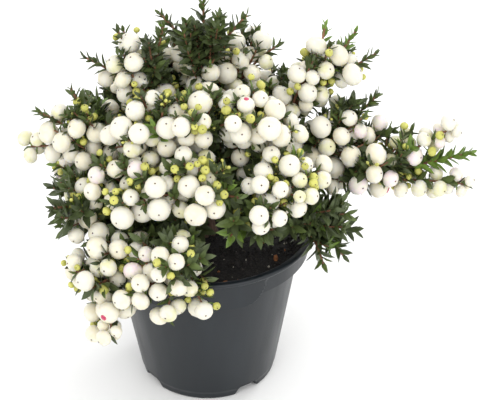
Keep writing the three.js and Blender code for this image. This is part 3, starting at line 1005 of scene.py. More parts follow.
def pot_outside(turn, height):
    """Radius of the outer face: the wall, set in at the foot, then the rim band and the label panel that
    stands proud of it. The panel's lower edge is level and rises at both ends as a quarter of an ellipse.
    Each step is eased over a fraction of a millimetre."""
    wall, band = wall_and_band(height)
    wall = wall - FOOT_INSET * (1 - smooth_step(FOOT_INSET_TOP - FOOT_INSET_EASE, FOOT_INSET_TOP, height))
    on_band = smooth_step(BAND_BOTTOM - STEP_SOFTNESS, BAND_BOTTOM + STEP_SOFTNESS, height)
    radius = blend(wall, band, on_band)
    inside = np.minimum(turn - PANEL_FROM, PANEL_TO - turn) * BAND_RADIUS
    short = np.clip(1 - inside / PANEL_CORNER, 0, 1)
    edge = blend(PANEL_BOTTOM, PANEL_CLOSE, 1 - np.sqrt(1 - short**2))
    on_panel = smooth_step(edge - STEP_SOFTNESS, edge + STEP_SOFTNESS, height) * (inside > 0)
    return blend(radius, BAND_RADIUS + PANEL_PROUD, on_panel)


def pot_inside(height):
    """Radius of the inner face: a wall's thickness inside the taper, then out over the shoulder to the
    band."""
    wall, band = wall_and_band(height)
    return blend(wall - WALL, band - WALL, smooth_step(BAND_BOTTOM, BAND_BOTTOM + WALL, height))


def pot_rings(turn):
    """The pot's rings of points: out along the underside, up the outer face, over the rounded lip, down the
    inner face and in along the inner floor. The foot's notches raise both floors."""
    raised = NOTCH_HEIGHT * notch_share(turn)

    def under(radius):
        """Height of the underside: what the notches raise it by, from their inner edge outwards."""
        return raised * smooth_step(NOTCH_INNER - 1, NOTCH_INNER, radius)

    floor = FLOOR_ROWS[:, None]
    foot = blend(raised + FOOT_BEVEL, FOOT_TOP, np.linspace(0, 1, FOOT_ROWS)[:, None])
    outer = np.concatenate([foot, WALL_ROWS[:, None] * np.ones_like(turn)])
    bead = LIP_HEIGHT / 2
    curve = np.linspace(-pi / 2, pi / 2, LIP_ROWS)[:, None]
    inner = INNER_ROWS[:, None]
    back = floor[::-1] - WALL / 2
    profile = (
        (floor, under(floor)),
        (pot_outside(turn, outer), outer),
        (RIM_RADIUS - bead + bead * np.cos(curve), LIP_BOTTOM + bead + bead * np.sin(curve)),
        (BAND_RADIUS - WALL + MOUTH_OUT, RIM_TOP - MOUTH_DOWN),
        (pot_inside(inner), inner),
        (back, under(back + WALL) + WALL),
    )
    return np.concatenate([polar(turn, radii, heights) for radii, heights in profile])


def make_pot(looks):
    """Puts the pot's profile round its axis, and gives it the finish of moulded nursery plastic: dark blue-
    grey, with faint streaks along the mould and a fine matt grain."""
    plastic = mottled(
        "pot_plastic", toned(looks.pot_colour, (0.3, 0.86), (0.52, 1), (0.72, 1.2)), scale=60,
        roughness=(0.3, 0.44), bump_scale=2600, bump_depth=0.00003, stretch=(1, 1, 0.12),
        Specular_IOR_Level=0.42,
    )
    put_round("pot_shell", pot_rings(turns(POT_COLUMNS)), 0, WALL, plastic, replaces=("pot",), slot="pot",
              sharp=radians(42))


def soil_height(points):
    """Height of the soil: a low crown that falls with the square of the distance out, lumps from layered
    noise, grains from the size of a finer one, and a slight rise against the trunk by a bell curve."""
    out = np.hypot(points[..., 0], points[..., 1])
    crown = SOIL_TOP - SOIL_CROWN * (out / RIM_RADIUS) ** 2
    flat = points * [1, 1, 0]
    grains = np.abs(layered_noise(flat, *GRAIN_NOISE))
    lumps = LUMP_HEIGHT * layered_noise(flat, *LUMP_NOISE) + GRAIN_HEIGHT * grains
    return crown + lumps + STEM_RISE * np.exp(-((out / STEM_RISE_REACH) ** 2))


def make_soil(looks):
    """A filled body: the lumpy top, sides that follow the pot's inner face, and a flat bottom. On it lie
    peat crumbs, pale grains and a few chips, each a rough ball that is partly sunk."""
    turn = turns(SOIL_COLUMNS)
    bottom = polar(turn, SOIL_FLOOR_ROWS, SOIL_BOTTOM)
    side = polar(turn, pot_inside(SOIL_SIDE_ROWS) - SOIL_GAP, SOIL_SIDE_ROWS)
    edge = BAND_RADIUS - WALL - 2 * SOIL_GAP
    flat = polar(turn, np.linspace(edge, SOIL_INNERMOST, SOIL_ROWS)[:, None], 0.0)
    top = flat + soil_height(flat)[..., None] * UP
    colour = looks.soil_colour
    peat = mottled(
        "peat", toned(colour, (0.35, 0.5), (0.55, 1), (0.8, 2.4)), scale=420, roughness=(0.75, 1.0),
        bump_scale=900, bump_depth=0.0008, detail=6,
    )
    rings = np.concatenate([bottom, side, top])
    put_round("soil_bed", rings, SOIL_BOTTOM, SOIL_PEAK, peat, replaces=("soil",), slot="soil")

    grains = (
        ("soil_crumbs", 900, 420, (0.5, 1.5), (shade(colour, 0.9), shade(colour, 2.6))),
        ("soil_grit", 90, 430, (0.3, 0.75), GRIT_COLOURS),
        ("soil_chips", 26, 440, (0.8, 1.9), (shade(CHIP_COLOUR, 0.5), CHIP_COLOUR)),
    )
    for name, count, salt, sizes, (dark, pale) in grains:
        finish = mottled(name, [(0.35, dark), (0.65, pale)], scale=700, roughness=(0.75, 0.95),
                         bump_scale=1800, bump_depth=0.0004)
        put_copies(name, *rough_balls(count, salt, sizes), finish, replaces=(), slot="soil")


def rough_balls(count, salt, sizes):
    """Small lumps strewn evenly over the soil: balls of four rings of six points, whose points are drawn in
    and out and which are squashed and turned by drawn amounts."""
    number = np.arange(count)
    out = (BAND_RADIUS - WALL - CRUMB_INSET) * np.sqrt(chance(salt, number, 0))
    spot = polar(2 * pi * chance(salt, number, 1), out, 0.0)
    size = blend(sizes[0], sizes[1], chance(salt, number, 2) ** 2)
    spot = spot + (soil_height(spot) + CRUMB_PROUD * size)[:, None] * UP
    rise = np.linspace(-pi / 2, pi / 2, CRUMB_ROWS + 2)[1:-1, None]
    ball = polar(turns(CRUMB_COLUMNS), np.cos(rise), np.sin(rise))
    row, column = np.arange(CRUMB_ROWS)[:, None], np.arange(CRUMB_COLUMNS)
    rough = linear(CRUMB_ROUGHNESS, chance(salt, number[:, None, None], 3, row, column))
    stretch = linear(CRUMB_STRETCH, chance(salt, number[:, None], 4, np.arange(3)))
    shape = ball * rough[..., None] * (stretch * size[:, None])[:, None, None]
    pole = size[:, None] * stretch * UP
    return spot[:, None, None] + shape, spot - pole, spot + pole


def relief(points, along, cell, depth, salt):
    """Bark relief: ridges that run lengthwise, from layered noise squeezed along the limb, with its troughs
    sharpened by taking the size of the noise."""
    squeezed = np.concatenate([points[..., :2], along[..., None] * BARK_SQUEEZE], axis=-1)
    return depth * (1 - BARK_TROUGH * np.abs(layered_noise(squeezed, cell, salt)))


def make_wood(looks):
    """The trunk is a taper with a slight bow, a flare that falls off by an exponential of the height, and
    three lobes in that flare. The boughs are tapering tubes. Both have lengthwise ridges of bark."""
    rows, columns = TRUNK_MESH
    rise = np.linspace(0, 1, rows)[:, None]
    turn = turns(columns)
    flare = FLARE * np.exp(-FLARE_FALL * rise)
    lobes = 1 + LOBE_DEPTH * np.cos(LOBES * turn) * flare / FLARE
    radius = (blend(TRUNK_BASE, TRUNK_TIP, rise) + flare) * lobes
    height = blend(TRUNK_FOOT, TRUNK_TOP, rise) + 0 * turn
    radius = radius + relief(polar(turn, radius, height), height, *TRUNK_RELIEF)
    bow = 4 * TRUNK_BOW * rise[..., None] * (1 - rise[..., None]) * [1, 0, 0]
    bark = mottled(
        "bark", toned(looks.bark_colour, (0.3, 0.5), (0.5, 1), (0.75, 1.7)), scale=520,
        roughness=(0.7, 0.92), bump_scale=1500, bump_depth=0.0003, stretch=(1, 1, 0.3), detail=5,
    )
    put_round("trunk_bark", polar(turn, radius, height) + bow, TRUNK_FOOT, TRUNK_TOP + TRUNK_CAP, bark,
              replaces=("trunk",), slot="bark")

    boughs = grown().boughs
    rows, columns = BOUGH_MESH
    rings = tube_rings(boughs, BOUGH_RADII, rows, columns)
    centre = rings.mean(axis=2, keepdims=True)
    along = np.broadcast_to(np.linspace(0, BOUGH_GRAIN_LENGTH, rows)[None, :, None], rings.shape[:3])
    rings = rings + unit(rings - centre) * relief(rings, along, *BOUGH_RELIEF)[..., None]
    put_copies("bough_bark", rings, boughs.root, boughs.tip, bark,
               replaces=tuple(f"bough_{name}" for name in MASS_NAMES), slot="bark")


def make_twigs(looks):
    """Each leader, side shoot and twig is a thin tapering tube that ends in a point."""
    growth = grown()
    kinds = (growth.leaders, growth.sides, leafy_twigs(berry_size(looks)))
    for shoots, (name, radii, rows, columns) in zip(kinds, STEM_RULES):
        finish = mottled(
            name, toned(looks.twig_colour, (0.35, 0.6), (0.55, 1), (0.75, 1.5)), scale=300,
            roughness=(0.5, 0.72), bump_scale=1600, bump_depth=0.0001, stretch=(1, 1, 0.4),
        )
        put_tubes(name, shoots, radii, rows, columns, finish, slot="bark")


def strung(shoots, radii, spacing, first, lasts, stalks, salt):
    """Places for berries along shoots: one each spacing, from the first place to a last one that is further
    on masses that bear more, by the golden turn. Each stands on its stalk to the side of the shoot, and its
    eye looks outwards from the plant. Those within one stretch of a shoot are a bunch, and share a draw."""
    last = np.minimum(blend(*lasts, FRUIT_SHARES[shoots.mass]), LAST_PLACE)
    counts = np.maximum((shoots.length() * (last - first) / spacing).astype(int), 1)
    parent, owner, number = shoots.children(counts)
    place = first + (last - first)[owner] * (number + parent.draw(salt, number)) / counts[owner]
    bunch = (place * parent.length() / BUNCH_LENGTH).astype(int)
    turn = GOLDEN_TURN * number + 2 * pi * parent.draw(salt + 1)
    stem = parent.point(place)
    out = unit(stem - HEART)
    aside = mixed(BERRY_ASIDE, parent.round_about(place, turn), parent.heading(place), out, UP)
    size = OWN_SIZE * parent.draw(salt + 2, number) + SHARED_SIZE * parent.draw(salt + 3)
    radius = blend(*radii, size**SIZE_POWER)
    stalk = blend(*stalks, parent.draw(salt + 4, number))
    centre = stem + (stalk + radius)[:, None] * aside
    wander = polar(2 * pi * parent.draw(salt + 5, number), BERRY_WANDER, 0.0)
    facing = mixed(BERRY_FACING, aside, out, wander)
    balls = Balls(stem, centre, radius, facing, parent.draw(salt + 6, bunch), parent.draw(salt + 7, number))
    return balls.pick(in_box(centre, BERRY_SPARE) & ~in_pot(centre, BERRY_POT_SPARE * radius))


def kept_apart(balls, squeeze, centres=np.empty((0, 3)), radii=np.empty(0)):
    """Takes the berries outermost first, their order scattered by their draws, and keeps each that doesn't
    press into one kept before, or into one of the given centres and radii, by more than the squeeze."""
    far = np.linalg.norm(balls.centre - HEART, axis=1)
    far = far + ORDER_SCATTER * balls.keep + ORDER_SCATTER * balls.spray
    kept = []
    for index in np.argsort(-far):
        gap = np.linalg.norm(centres - balls.centre[index], axis=1) - radii - balls.radius[index]
        if (gap >= -squeeze).all():
            kept.append(index)
            centres = np.vstack([centres, balls.centre[index]])
            radii = np.append(radii, balls.radius[index])
    return balls.pick(np.array(kept))


def fruitful(things):
    """True for the shoots or leaves on a leader that bears fruit: the leader's draw lies below its mass's
    share of fruit, changed by a factor."""
    draw = chance(things.mass, things.leader, SIDE_SLOTS, 0, FRUITFUL_SALT)
    return draw < FRUITFUL_FACTOR * FRUIT_SHARES[things.mass]


def bearing(shoots, factor, salt):
    """The shoots on fruitful leaders whose own draw lies below their mass's share of fruit, changed by that
    factor."""
    return shoots.pick(fruitful(shoots) & (shoots.draw(salt) < factor * FRUIT_SHARES[shoots.mass]))


def berry_size(looks):
    """Radius of a middling berry in millimetres, to a thousandth."""
    return round(looks.berry_radius / MM, 3)


def leafy_ends():
    """Balls along the outer part of each leader that bears no fruit, where its leaves need room."""
    leaders = grown().leaders
    parent, _, number = leaders.pick(~fruitful(leaders)).children(len(LEAFY_PLACES))
    points = parent.point(LEAFY_PLACES[number])
    none = np.zeros(len(points))
    return Balls(points, points, none + LEAFY_ROOM, points, none, none)


@cache
def fruited(berry_radius):
    """The ripe berries in bunches round the inner part of the bearing shoots and at the tips of a few laden
    leaders, then the unripe ones in the room between them and just beyond."""
    leaders, sides = grown().leaders, grown().sides
    small, large = (share * berry_radius for share in RIPE_SIZES)
    ripe = joined([
        strung(leaders.pick(fruitful(leaders)), (small, large), *RIPE_ON_LEADERS),
        strung(bearing(sides, *RIPE_SIDES), (small, large), *RIPE_ON_SIDES),
    ])
    laden = leaders.pick(leaders.draw(LADEN_SALT) < LADEN_SHARE)
    tips = strung(laden, (TIP_SIZES[0] * small, TIP_SIZES[1] * large), *RIPE_AT_TIPS)
    ripe = joined([ripe.pick(ripe.spray < RIPE_SPRAYS), tips])
    ripe = kept_apart(ripe.pick(outside_balls(ripe.centre, leafy_ends(), 0, LEAFY_FRONT)), RIPE_SQUEEZE)
    unripe = joined([
        strung(bearing(leaders, *UNRIPE_LEADERS), UNRIPE_LEADER_SIZES, *UNRIPE_ON_LEADERS),
        strung(bearing(sides, *UNRIPE_SIDES), UNRIPE_SIDE_SIZES, *UNRIPE_ON_SIDES),
    ])
    unripe = unripe.pick(unripe.spray < UNRIPE_SPRAYS)
    return ripe, kept_apart(unripe, UNRIPE_SQUEEZE, ripe.centre, ripe.radius)


@cache
def leafy_twigs(berry_radius):
    """The twigs that don't pass through a berry, less those on fruitful leaders that hide one from
    outside."""
    twigs = grown().twigs
    balls = joined(fruited(berry_radius))
    free = np.ones(len(twigs), bool)
    for place in TWIG_CHECKS:
        points = twigs.point(place)
        aside = outside_balls(points, balls, TWIG_MARGIN, TWIG_FRONT) | ~fruitful(twigs)
        free &= aside & outside_balls(points, balls, TWIG_MARGIN)
    return twigs.pick(free)


def berry_rings(balls, columns, rows, squat, dimple):
    """Rings of a ball from its stalk end to its eye end: radius cos and height sin of the latitude, with
    both ends let in by a bell curve of the angle from the pole, and five faint lobes in the radius, each
    berry's turned and deepened by its own draw. With them come the points at both ends."""
    latitude = np.linspace(-pi / 2, pi / 2, rows + 2)
    pole_angle = pi / 2 - np.abs(latitude)
    let_in = dimple * np.exp(-((pole_angle / DIMPLE_WIDTH) ** 2))
    height = squat * np.sin(latitude) - np.sign(latitude) * let_in
    out = np.cos(latitude)
    side = across(balls.facing)
    ring = circles(side, np.cross(balls.facing, side), columns)
    depth = 2 * BERRY_LOBE_DEPTH * balls.keep[:, None]
    lobes = 1 + depth * np.cos(BERRY_LOBES * turns(columns) + BERRY_LOBE_TURN * balls.keep[:, None])
    ring = ring * lobes[..., None]
    radius = balls.radius[:, None, None, None]
    centre = balls.centre[:, None, None]
    facing = balls.facing[:, None, None]
    rings = centre + radius * (out[1:-1, None, None] * ring[:, None] + height[1:-1, None, None] * facing)
    poles = [balls.centre + balls.radius[:, None] * height[end] * balls.facing for end in (0, -1)]
    return rings, *poles


def put_balls(name, balls, mesh, material, squat=BERRY_SQUAT, dimple=0.0):
    """The balls as one piece."""
    put_copies(name, *berry_rings(balls, *mesh, squat, dimple), material)


def at_eyes(berries, radius):
    """Small balls of that radius, one in each berry's eye."""
    seat = berries.centre + berries.facing * (berries.radius * BERRY_EYE_HEIGHT)[:, None]
    return replace(berries, centre=seat, radius=radius)


def still_turning(ripe):
    """True for the smaller berries on the sprays that ripen last."""
    small = ripe.radius < np.quantile(ripe.radius, TURNING_SMALLEST)
    return (ripe.spray > TURNING_SPRAYS) & small


def berry_kinds(looks, ripe, green):
    """The berries dealt out by their spray's draw: for each kind its name, its berries, their mesh and the
    two colours of its finish."""
    white, unripe = looks.berry_colour, looks.unripe_colour
    right = (ripe.centre[:, 0] > RIGHT_FROM) & (ripe.centre[:, 2] < RIGHT_BELOW)
    tinted = ripe.spray < np.where(right, TINTED_SPRAYS_RIGHT, TINTED_SPRAYS)
    turning = still_turning(ripe)
    plain = ~(tinted | turning)
    pure = ripe.spray < WHITE_SPRAYS
    cream = shade(np.array(white) * CREAM_TINT, 0.98)
    pale_green = blend(np.array(white), np.array(unripe), 0.45)
    return (
        ("berries_white", ripe.pick(plain & pure), BERRY_MESH, shade(white, 0.97), white),
        ("berries_cream", ripe.pick(plain & ~pure), BERRY_MESH, cream, white),
        ("berries_blush", ripe.pick(tinted), BERRY_MESH, looks.blush_colour, shade(white, 0.96)),
        ("berries_turning", ripe.pick(turning), BERRY_MESH, pale_green, shade(white, 0.95)),
        ("berries_unripe", green, UNRIPE_MESH, shade(unripe, 0.75), unripe),
    )


def make_fruit(looks):
    """A berry is a ball turned about its stalk's line, slightly squat, with a dimple at the eye and another
    at the stalk. The eye is a small dark lens in its dimple, and a few have a crimson blotch round it."""
    ripe, green = fruited(berry_size(looks))
    for name, berries, mesh, low, high in berry_kinds(looks, ripe, green):
        finish = mottled(name, [(0.38, low), (0.58, high)], scale=170, roughness=(0.4, 0.55),
                         bump_scale=900, bump_depth=0.00006, detail=2, Coat_Weight=0.08, Coat_Roughness=0.3,
                         Subsurface_Weight=0.4, Subsurface_Scale=0.002, Subsurface_Radius=(1.0, 0.85, 0.5))
        put_balls(name, berries, mesh, finish, dimple=BERRY_DIMPLE)

    blotched = ripe.pick((ripe.keep > BLOTCHED_FROM) & ~still_turning(ripe))
    crimson = mottled("berry_blotch", list(zip((0.4, 0.6), BLOTCH_COLOURS)), scale=900,
                      roughness=(0.4, 0.5), bump_scale=2000, bump_depth=0.00005)
    patches = at_eyes(blotched, BLOTCH_SIZE * blotched.radius)
    put_balls("berry_blotches", patches, BLOTCH_MESH, crimson, BLOTCH_SQUAT)

    both = joined([ripe, green])
    eye = mottled("berry_eye", list(zip((0.4, 0.6), EYE_COLOURS)), scale=2000, roughness=(0.7, 0.9),
                  bump_scale=4000, bump_depth=0.0001)
    lenses = at_eyes(both, np.repeat(EYE_SIZES, [len(ripe), len(green)]))
    put_balls("berry_eyes", lenses, EYE_MESH, eye, EYE_SQUAT)

    finish = mottled("berry_stalk", toned(looks.young_leaf_colour, (0.35, 0.7), (0.6, 1.2)), scale=400,
                     roughness=(0.45, 0.6), bump_scale=1500, bump_depth=0.0001)
    base = both.centre - both.facing * (both.radius * STALK_SEAT)[:, None]
    put_stalks("berry_stalks", both.stem, base, STALK_LIFT, STALK_RADII, STALK_ROWS, finish)


def make_buds(looks):
    """Clusters of flower buds near the ends of some twigs: three to six small balls on short stalks that
    fan out about the twig's heading."""
    size = berry_size(looks)
    shoots = joined([leafy_twigs(size), grown().sides])
    shoots = shoots.pick(shoots.draw(BUD_SALT) < BUD_SHARE * FRUIT_SHARES[shoots.mass])
    counts = FEWEST_BUDS + (shoots.draw(BUD_SALT + 1) * MORE_BUDS).astype(int)
    parent, _, number = shoots.children(counts)
    place = linear(BUD_PLACE, parent.draw(BUD_SALT + 2)) + BUD_STEP * number
    turn = GOLDEN_TURN * number + 2 * pi * parent.draw(BUD_SALT + 3)
    stem = parent.point(place)
    facing = mixed(BUD_FACING, parent.round_about(place, turn), parent.heading(place), UP)
    radius = blend(*BUD_RADII, parent.draw(BUD_SALT + 4, number))
    centre = stem + linear(BUD_STALKS, parent.draw(BUD_SALT + 5, number))[:, None] * facing
    buds = Balls(stem, centre, radius, facing, parent.draw(BUD_SALT + 6), parent.draw(BUD_SALT + 7))
    free = outside_balls(centre, joined(fruited(size)), BUD_MARGIN) & ~in_pot(centre, BUD_POT_SPARE)
    buds = buds.pick(free)
    finish = mottled("bud_green", toned(looks.unripe_colour, (0.35, 0.6), (0.6, 1.1)), scale=500,
                     roughness=(0.4, 0.55), bump_scale=1500, bump_depth=0.0001)
    put_balls("flower_buds", buds, BUD_MESH, finish, BUD_SQUAT)
    put_stalks("bud_stalks", buds.stem, buds.centre, 0, BUD_STALK_RADII, BUD_STALK_ROWS, finish)


def outside_balls(points, balls, margin, front=0.0):
    """True where a point keeps that margin from every ball, also if the ball were moved out from the heart
    by up to the front distance. The squared distance to the moved ball comes from the products of the
    points with the centres and with the outward directions."""
    outward = unit(balls.centre - HEART)
    level = np.sum(balls.centre * outward, axis=1)
    squares = np.sum(balls.centre**2, axis=1)
    free = np.ones(len(points), bool)
    for part in np.array_split(np.arange(len(points)), CHECK_PARTS):
        some = points[part]
        apart = np.sum(some**2, axis=1)[:, None] - 2 * some @ balls.centre.T + squares
        ahead = some @ outward.T - level
        step = np.clip(ahead, 0, front)
        gap = np.sqrt(np.maximum(apart - 2 * step * ahead + step**2, 0)) - balls.radius
        free[part] = gap.min(axis=1) > margin
    return free


def leaves_on(shoots, length, spacing, start, salt):
    """Leaves by the golden turn along each shoot. They stand well out low down and close up at the very
    tip, where they are shorter; they are also shorter high on the plant. Each face looks up the shoot, and
    is rolled a little by a drawn amount. Over their outer part a few sprays have fresh leaves and most have
    grown ones, and all other leaves are dark."""
    counts = np.maximum((shoots.length() * (1 - start) / spacing).astype(int), FEWEST_LEAVES)
    parent, owner, number = shoots.children(counts)
    share = (number + 0.5) / counts[owner]
    place = start + (1 - start) * share**LEAF_CROWDING
    turn = GOLDEN_TURN * number + 2 * pi * parent.draw(salt) + LEAF_JITTER * parent.draw(salt + 1, number)
    heading = parent.heading(place)
    out = parent.round_about(place, turn)
    lean = LEAF_LEAN
    for loss, first, last in LEAF_CLOSING:
        lean = lean - loss * smooth_step(first, last, share)
    lean = np.radians(lean + LEAF_LEAN_SPREAD * (parent.draw(salt + 2, number) - 0.5))[:, None]
    along = unit(np.cos(lean) * heading + np.sin(lean) * out + LEAF_LIFT * UP)
    upper = heading - np.sum(heading * along, axis=1, keepdims=True) * along
    upper = unit(upper + LEAF_TWIST * np.cross(along, out))
    roll = LEAF_ROLL * (parent.draw(salt + 3, number) - 0.5)[:, None]
    upper = np.cos(roll) * upper + np.sin(roll) * np.cross(along, upper)
    foot = parent.point(place) - LEAF_SEAT * along
    size = length * blend(*LEAF_FACTORS, smooth_step(*LEAF_HEIGHTS, foot[:, 2]))
    size = size * linear(LEAF_SIZES, parent.draw(salt + 4, number))
    size = size * linear(LEAF_TIP_SHRINK, smooth_step(*LEAF_TIPS, share))
    width = size * linear(LEAF_WIDTH, parent.draw(salt + 5, number))
    curl = linear(LEAF_CURL, parent.draw(salt + 6, number))
    spray = parent.draw(salt + 7)
    fresh = (spray < YOUNG_SPRAYS) & (share > linear(YOUNG_FROM, parent.draw(salt + 8)))
    outer = (spray < OUTER_SPRAYS) & (share > linear(OUTER_FROM, parent.draw(salt + 9))) & ~fresh
    age = np.where(fresh, 0, np.where(outer, 1, 2))
    keep = parent.draw(salt + 10, number)
    return Leaves(parent.mass, parent.leader, foot, along, upper, size, width, curl, age, keep)


def leaf_rings(leaves):
    """Each leaf is a thin closed blade. At each station along it are four points: the two edges, lifted by
    the fold, and the midrib's upper and lower side. The midline curls back with the square of the
    distance."""
    side = np.cross(leaves.upper, leaves.along)[:, None]
    upper = leaves.upper[:, None]
    length = leaves.length[:, None, None]
    curl = leaves.curl[:, None, None]
    midline = leaves.foot[:, None] + length * (
        LEAF_STATIONS * leaves.along[:, None] - curl * LEAF_STATIONS**2 * upper)
    half = leaves.width[:, None, None] / 2 * LEAF_WIDTHS
    deep = LEAF_THICKNESS / 2 * upper
    edge = half * (side + LEAF_FOLD * upper)
    far_edge = half * (LEAF_FOLD * upper - side)
    rings = np.stack([midline + edge, midline + deep, midline + far_edge, midline - deep], axis=2)
    tip = leaves.foot + leaves.length[:, None] * (leaves.along - leaves.curl[:, None] * leaves.upper)
    return rings, leaves.foot, tip


def make_leaves(looks):
    """Leaves on every leader, side shoot and twig, less those that would pass through the pot or a berry,
    and most of those that would hide a berry from outside. Each age has its own greens, and is one piece
    for each layer of the crown."""
    size = berry_size(looks)
    length = looks.leaf_length / MM
    kinds = (grown().leaders, grown().sides, leafy_twigs(size))
    leaves = joined([
        leaves_on(shoots, share * length, *rule) for shoots, (share, *rule) in zip(kinds, LEAF_RULES)
    ])
    berries = joined(fruited(size))
    free = np.ones(len(leaves), bool)
    aside = (leaves.keep < KEPT_BEFORE_FRUIT) | ~fruitful(leaves)
    clear = np.ones(len(leaves), bool)
    for share, margin, front_margin, pot_margin in LEAF_CHECKS:
        spot = leaves.foot + share * leaves.length[:, None] * leaves.along
        free &= outside_balls(spot, berries, margin) & ~in_pot(spot, pot_margin)
        clear &= outside_balls(spot, berries, front_margin, BERRY_FRONT)
    leaves = leaves.pick(free & (clear | aside))
    greens = (
        ("leaves_young", looks.young_leaf_colour),
        ("leaves_grown", looks.leaf_colour),
        ("leaves_dark", looks.old_leaf_colour),
    )
    for age, (name, colour) in enumerate(greens):
        finish = mottled(
            name, toned(colour, (0.3, 0.6), (0.52, 1), (0.74, 1.5)), scale=150, roughness=(0.38, 0.54),
            bump_scale=1300, bump_depth=0.00012, Specular_IOR_Level=0.4,
        )
        for layer, (first, last) in LEAF_LAYERS.items():
            here = (leaves.age == age) & (leaves.mass >= first) & (leaves.mass < last)
            rings, feet, tips = leaf_rings(leaves.pick(here))
            put_copies(f"{name}_{layer}", rings, feet, tips, finish, slot="foliage", sharp=radians(24))


def make_stage(looks):
    """A pale floor at the pot's foot, a white world, three large soft lamps and the camera. Each lamp is
    tipped from straight down by the angle of its line to the target, and turned by that line's bearing."""
    finish = mottled("floor", list(zip((0.3, 0.7), FLOOR_COLOURS)), scale=3, roughness=(0.6, 0.7),
                     bump_scale=60, bump_depth=0.0001)
    corners = np.array([[-1, -1, 0], [1, -1, 0], [1, 1, 0], [-1, 1, 0]], float) * FLOOR_HALF
    mesh = bpy.data.meshes.new("floor")
    mesh.from_pydata(corners.tolist(), [], [(0, 1, 2, 3)])
    mesh.materials.append(finish)
    floor = new_object("floor", mesh)
    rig.stage(floor)

    world = bpy.data.worlds.new("studio")
    bpy.context.scene.world = world
    world.use_nodes = True
    with_inputs(world.node_tree.nodes["Background"], Color=(1, 1, 1, 1), Strength=looks.world_strength)

    for name, place, size, share in LAMPS:
        light = bpy.data.lights.new(name, "AREA")
        light.shape = "DISK"
        light.size = size
        light.energy = share * looks.key_power
        lamp = new_object(name, light)
        lamp.location = place
        toward = unit(LAMP_TARGET - np.array(place))
        lamp.rotation_euler = (np.arccos(-toward[2]), 0, np.arctan2(-toward[0], toward[1]))
        lamp.visible_camera = False

    camera = new_object("camera", bpy.data.cameras.new("camera"))
    camera.data.lens = CAMERA_LENS
    camera.location = CAMERA_PLACE
    camera.rotation_euler = (CAMERA_PITCH, 0, 0)
    bpy.context.scene.camera = camera
    bpy.context.scene.view_settings.view_transform = "Standard"


def colour_property(name, description, default):
    """A colour that the user can change."""
    return FloatVectorProperty(name=name, description=description, default=default, subtype="COLOR",
                               size=3, min=0.0, max=1.0)


def length_property(name, description, default, low, high):
    """A length in metres that the user can change."""
    return FloatProperty(name=name, description=description, default=default, min=low, max=high,
                         unit="LENGTH", subtype="DISTANCE")


class HeathLooks(PropertyGroup):
    """Sizes and colours of the heath and its pot."""

    leaf_length: length_property("Leaf length", "Length of a full-grown leaf", 0.011, 0.003, 0.03)
    berry_radius: length_property("Berry radius", "Radius of a middling ripe berry", 0.0059, 0.002, 0.012)
    pot_colour: colour_property("Pot", "Moulded plastic of the pot", (0.0067, 0.0102, 0.0138))
    soil_colour: colour_property("Soil", "Peat between the stems", (0.0125, 0.0105, 0.0095))
    bark_colour: colour_property("Bark", "Trunk and boughs", (0.105, 0.064, 0.042))
    twig_colour: colour_property("Twigs", "Leaders, side shoots and fine twigs", (0.20, 0.088, 0.045))
    leaf_colour: colour_property("Leaf", "Full-grown leaves near the tips", (0.071, 0.101, 0.026))
    old_leaf_colour: colour_property("Old leaf", "Darker leaves further in", (0.059, 0.080, 0.028))
    young_leaf_colour: colour_property("Young leaf", "Fresh leaves and berry stalks", (0.13, 0.21, 0.035))
    berry_colour: colour_property("Berry", "Ripe berries", (0.75, 0.725, 0.625))
    blush_colour: colour_property("Blush", "Tinted berries", (0.76, 0.65, 0.67))
    unripe_colour: colour_property("Unripe berry", "Unripe berries and flower buds", (0.56, 0.555, 0.13))
    world_strength: FloatProperty(
        name="Sky light", description="Strength of the white light from all round", default=1.36, min=0.0,
        max=5.0)
    key_power: FloatProperty(
        name="Key lamp", description="Power of the main soft lamp", default=4.5, min=0.0, max=500.0,
        unit="POWER")


class HeathPiece:
    """What the heath's operators share: each makes its pieces from the scene's sizes and colours."""

    bl_options = {"REGISTER", "UNDO"}
    make = None

    def execute(self, context):
        """Makes this operator's pieces."""
        type(self).make(context.scene.heath_looks)
        return {"FINISHED"}


class HEATH_OT_pot(HeathPiece, Operator):
    """Make the nursery pot"""

    bl_idname = "heath.pot"
    bl_label = "Nursery Pot"
    make = make_pot


class HEATH_OT_soil(HeathPiece, Operator):
    """Make the soil, its crumbs, its grit and its chips"""

    bl_idname = "heath.soil"
    bl_label = "Soil"
    make = make_soil


class HEATH_OT_wood(HeathPiece, Operator):
    """Make the bark of the trunk and the boughs"""

    bl_idname = "heath.wood"
    bl_label = "Trunk and Boughs"
    make = make_wood


class HEATH_OT_twigs(HeathPiece, Operator):
    """Make the leaders, side shoots and fine twigs"""

    bl_idname = "heath.twigs"
    bl_label = "Twigs"
    make = make_twigs


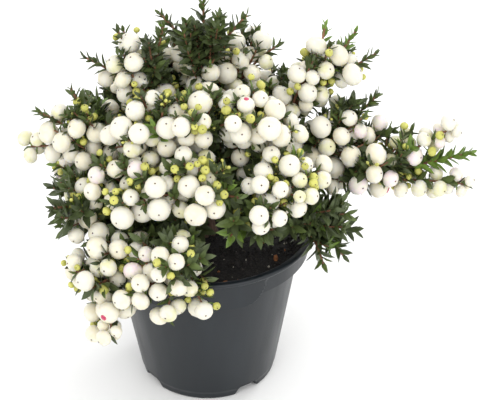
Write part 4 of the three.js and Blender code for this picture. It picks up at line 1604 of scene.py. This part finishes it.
class HEATH_OT_leaves(HeathPiece, Operator):
    """Make the young, full-grown and old leaves"""

    bl_idname = "heath.leaves"
    bl_label = "Leaves"
    make = make_leaves


class HEATH_OT_fruit(HeathPiece, Operator):
    """Make the berries, their eyes and their stalks"""

    bl_idname = "heath.fruit"
    bl_label = "Berries"
    make = make_fruit


class HEATH_OT_buds(HeathPiece, Operator):
    """Make the clusters of flower buds"""

    bl_idname = "heath.buds"
    bl_label = "Flower Buds"
    make = make_buds


class HEATH_OT_stage(HeathPiece, Operator):
    """Make the floor, the lights and the camera"""

    bl_idname = "heath.stage"
    bl_label = "Stage"
    make = make_stage


OPERATORS = (
    HEATH_OT_pot, HEATH_OT_soil, HEATH_OT_wood, HEATH_OT_twigs, HEATH_OT_leaves, HEATH_OT_fruit,
    HEATH_OT_buds, HEATH_OT_stage,
)


class HEATH_PT_pieces(Panel):
    """Lists the heath's sizes, colours and pieces"""

    bl_label = "Prickly Heath"
    bl_idname = "HEATH_PT_pieces"
    bl_space_type = "VIEW_3D"
    bl_region_type = "UI"
    bl_category = "Heath"

    def draw(self, context):
        """Shows a field for each size and colour, and a button for each operator."""
        looks = context.scene.heath_looks
        for name in HeathLooks.__annotations__:
            self.layout.prop(looks, name)
        for operator in OPERATORS:
            self.layout.operator(operator.bl_idname)


CLASSES = (HeathLooks, *OPERATORS, HEATH_PT_pieces)


def register():
    """Makes the classes known to Blender and gives the scene its sizes and colours."""
    for each in CLASSES:
        bpy.utils.register_class(each)
    bpy.types.Scene.heath_looks = PointerProperty(type=HeathLooks)


def unregister():
    """Undoes what register did, in the opposite order."""
    del bpy.types.Scene.heath_looks
    for each in reversed(CLASSES):
        bpy.utils.unregister_class(each)


def main():
    """Makes every piece and the stage, then writes the boxes of the frame and of the dressed part."""
    register()
    for operator in OPERATORS:
        family, name = operator.bl_idname.split(".")
        getattr(getattr(bpy.ops, family), name)()
    boxes = {
        "cad": [list(corner) for corner in CAD_BOX],
        "visual": [list(corner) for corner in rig.bounds()],
    }
    with open("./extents.json", "w") as file:
        json.dump(boxes, file)


if __name__ == "__main__":
    main()
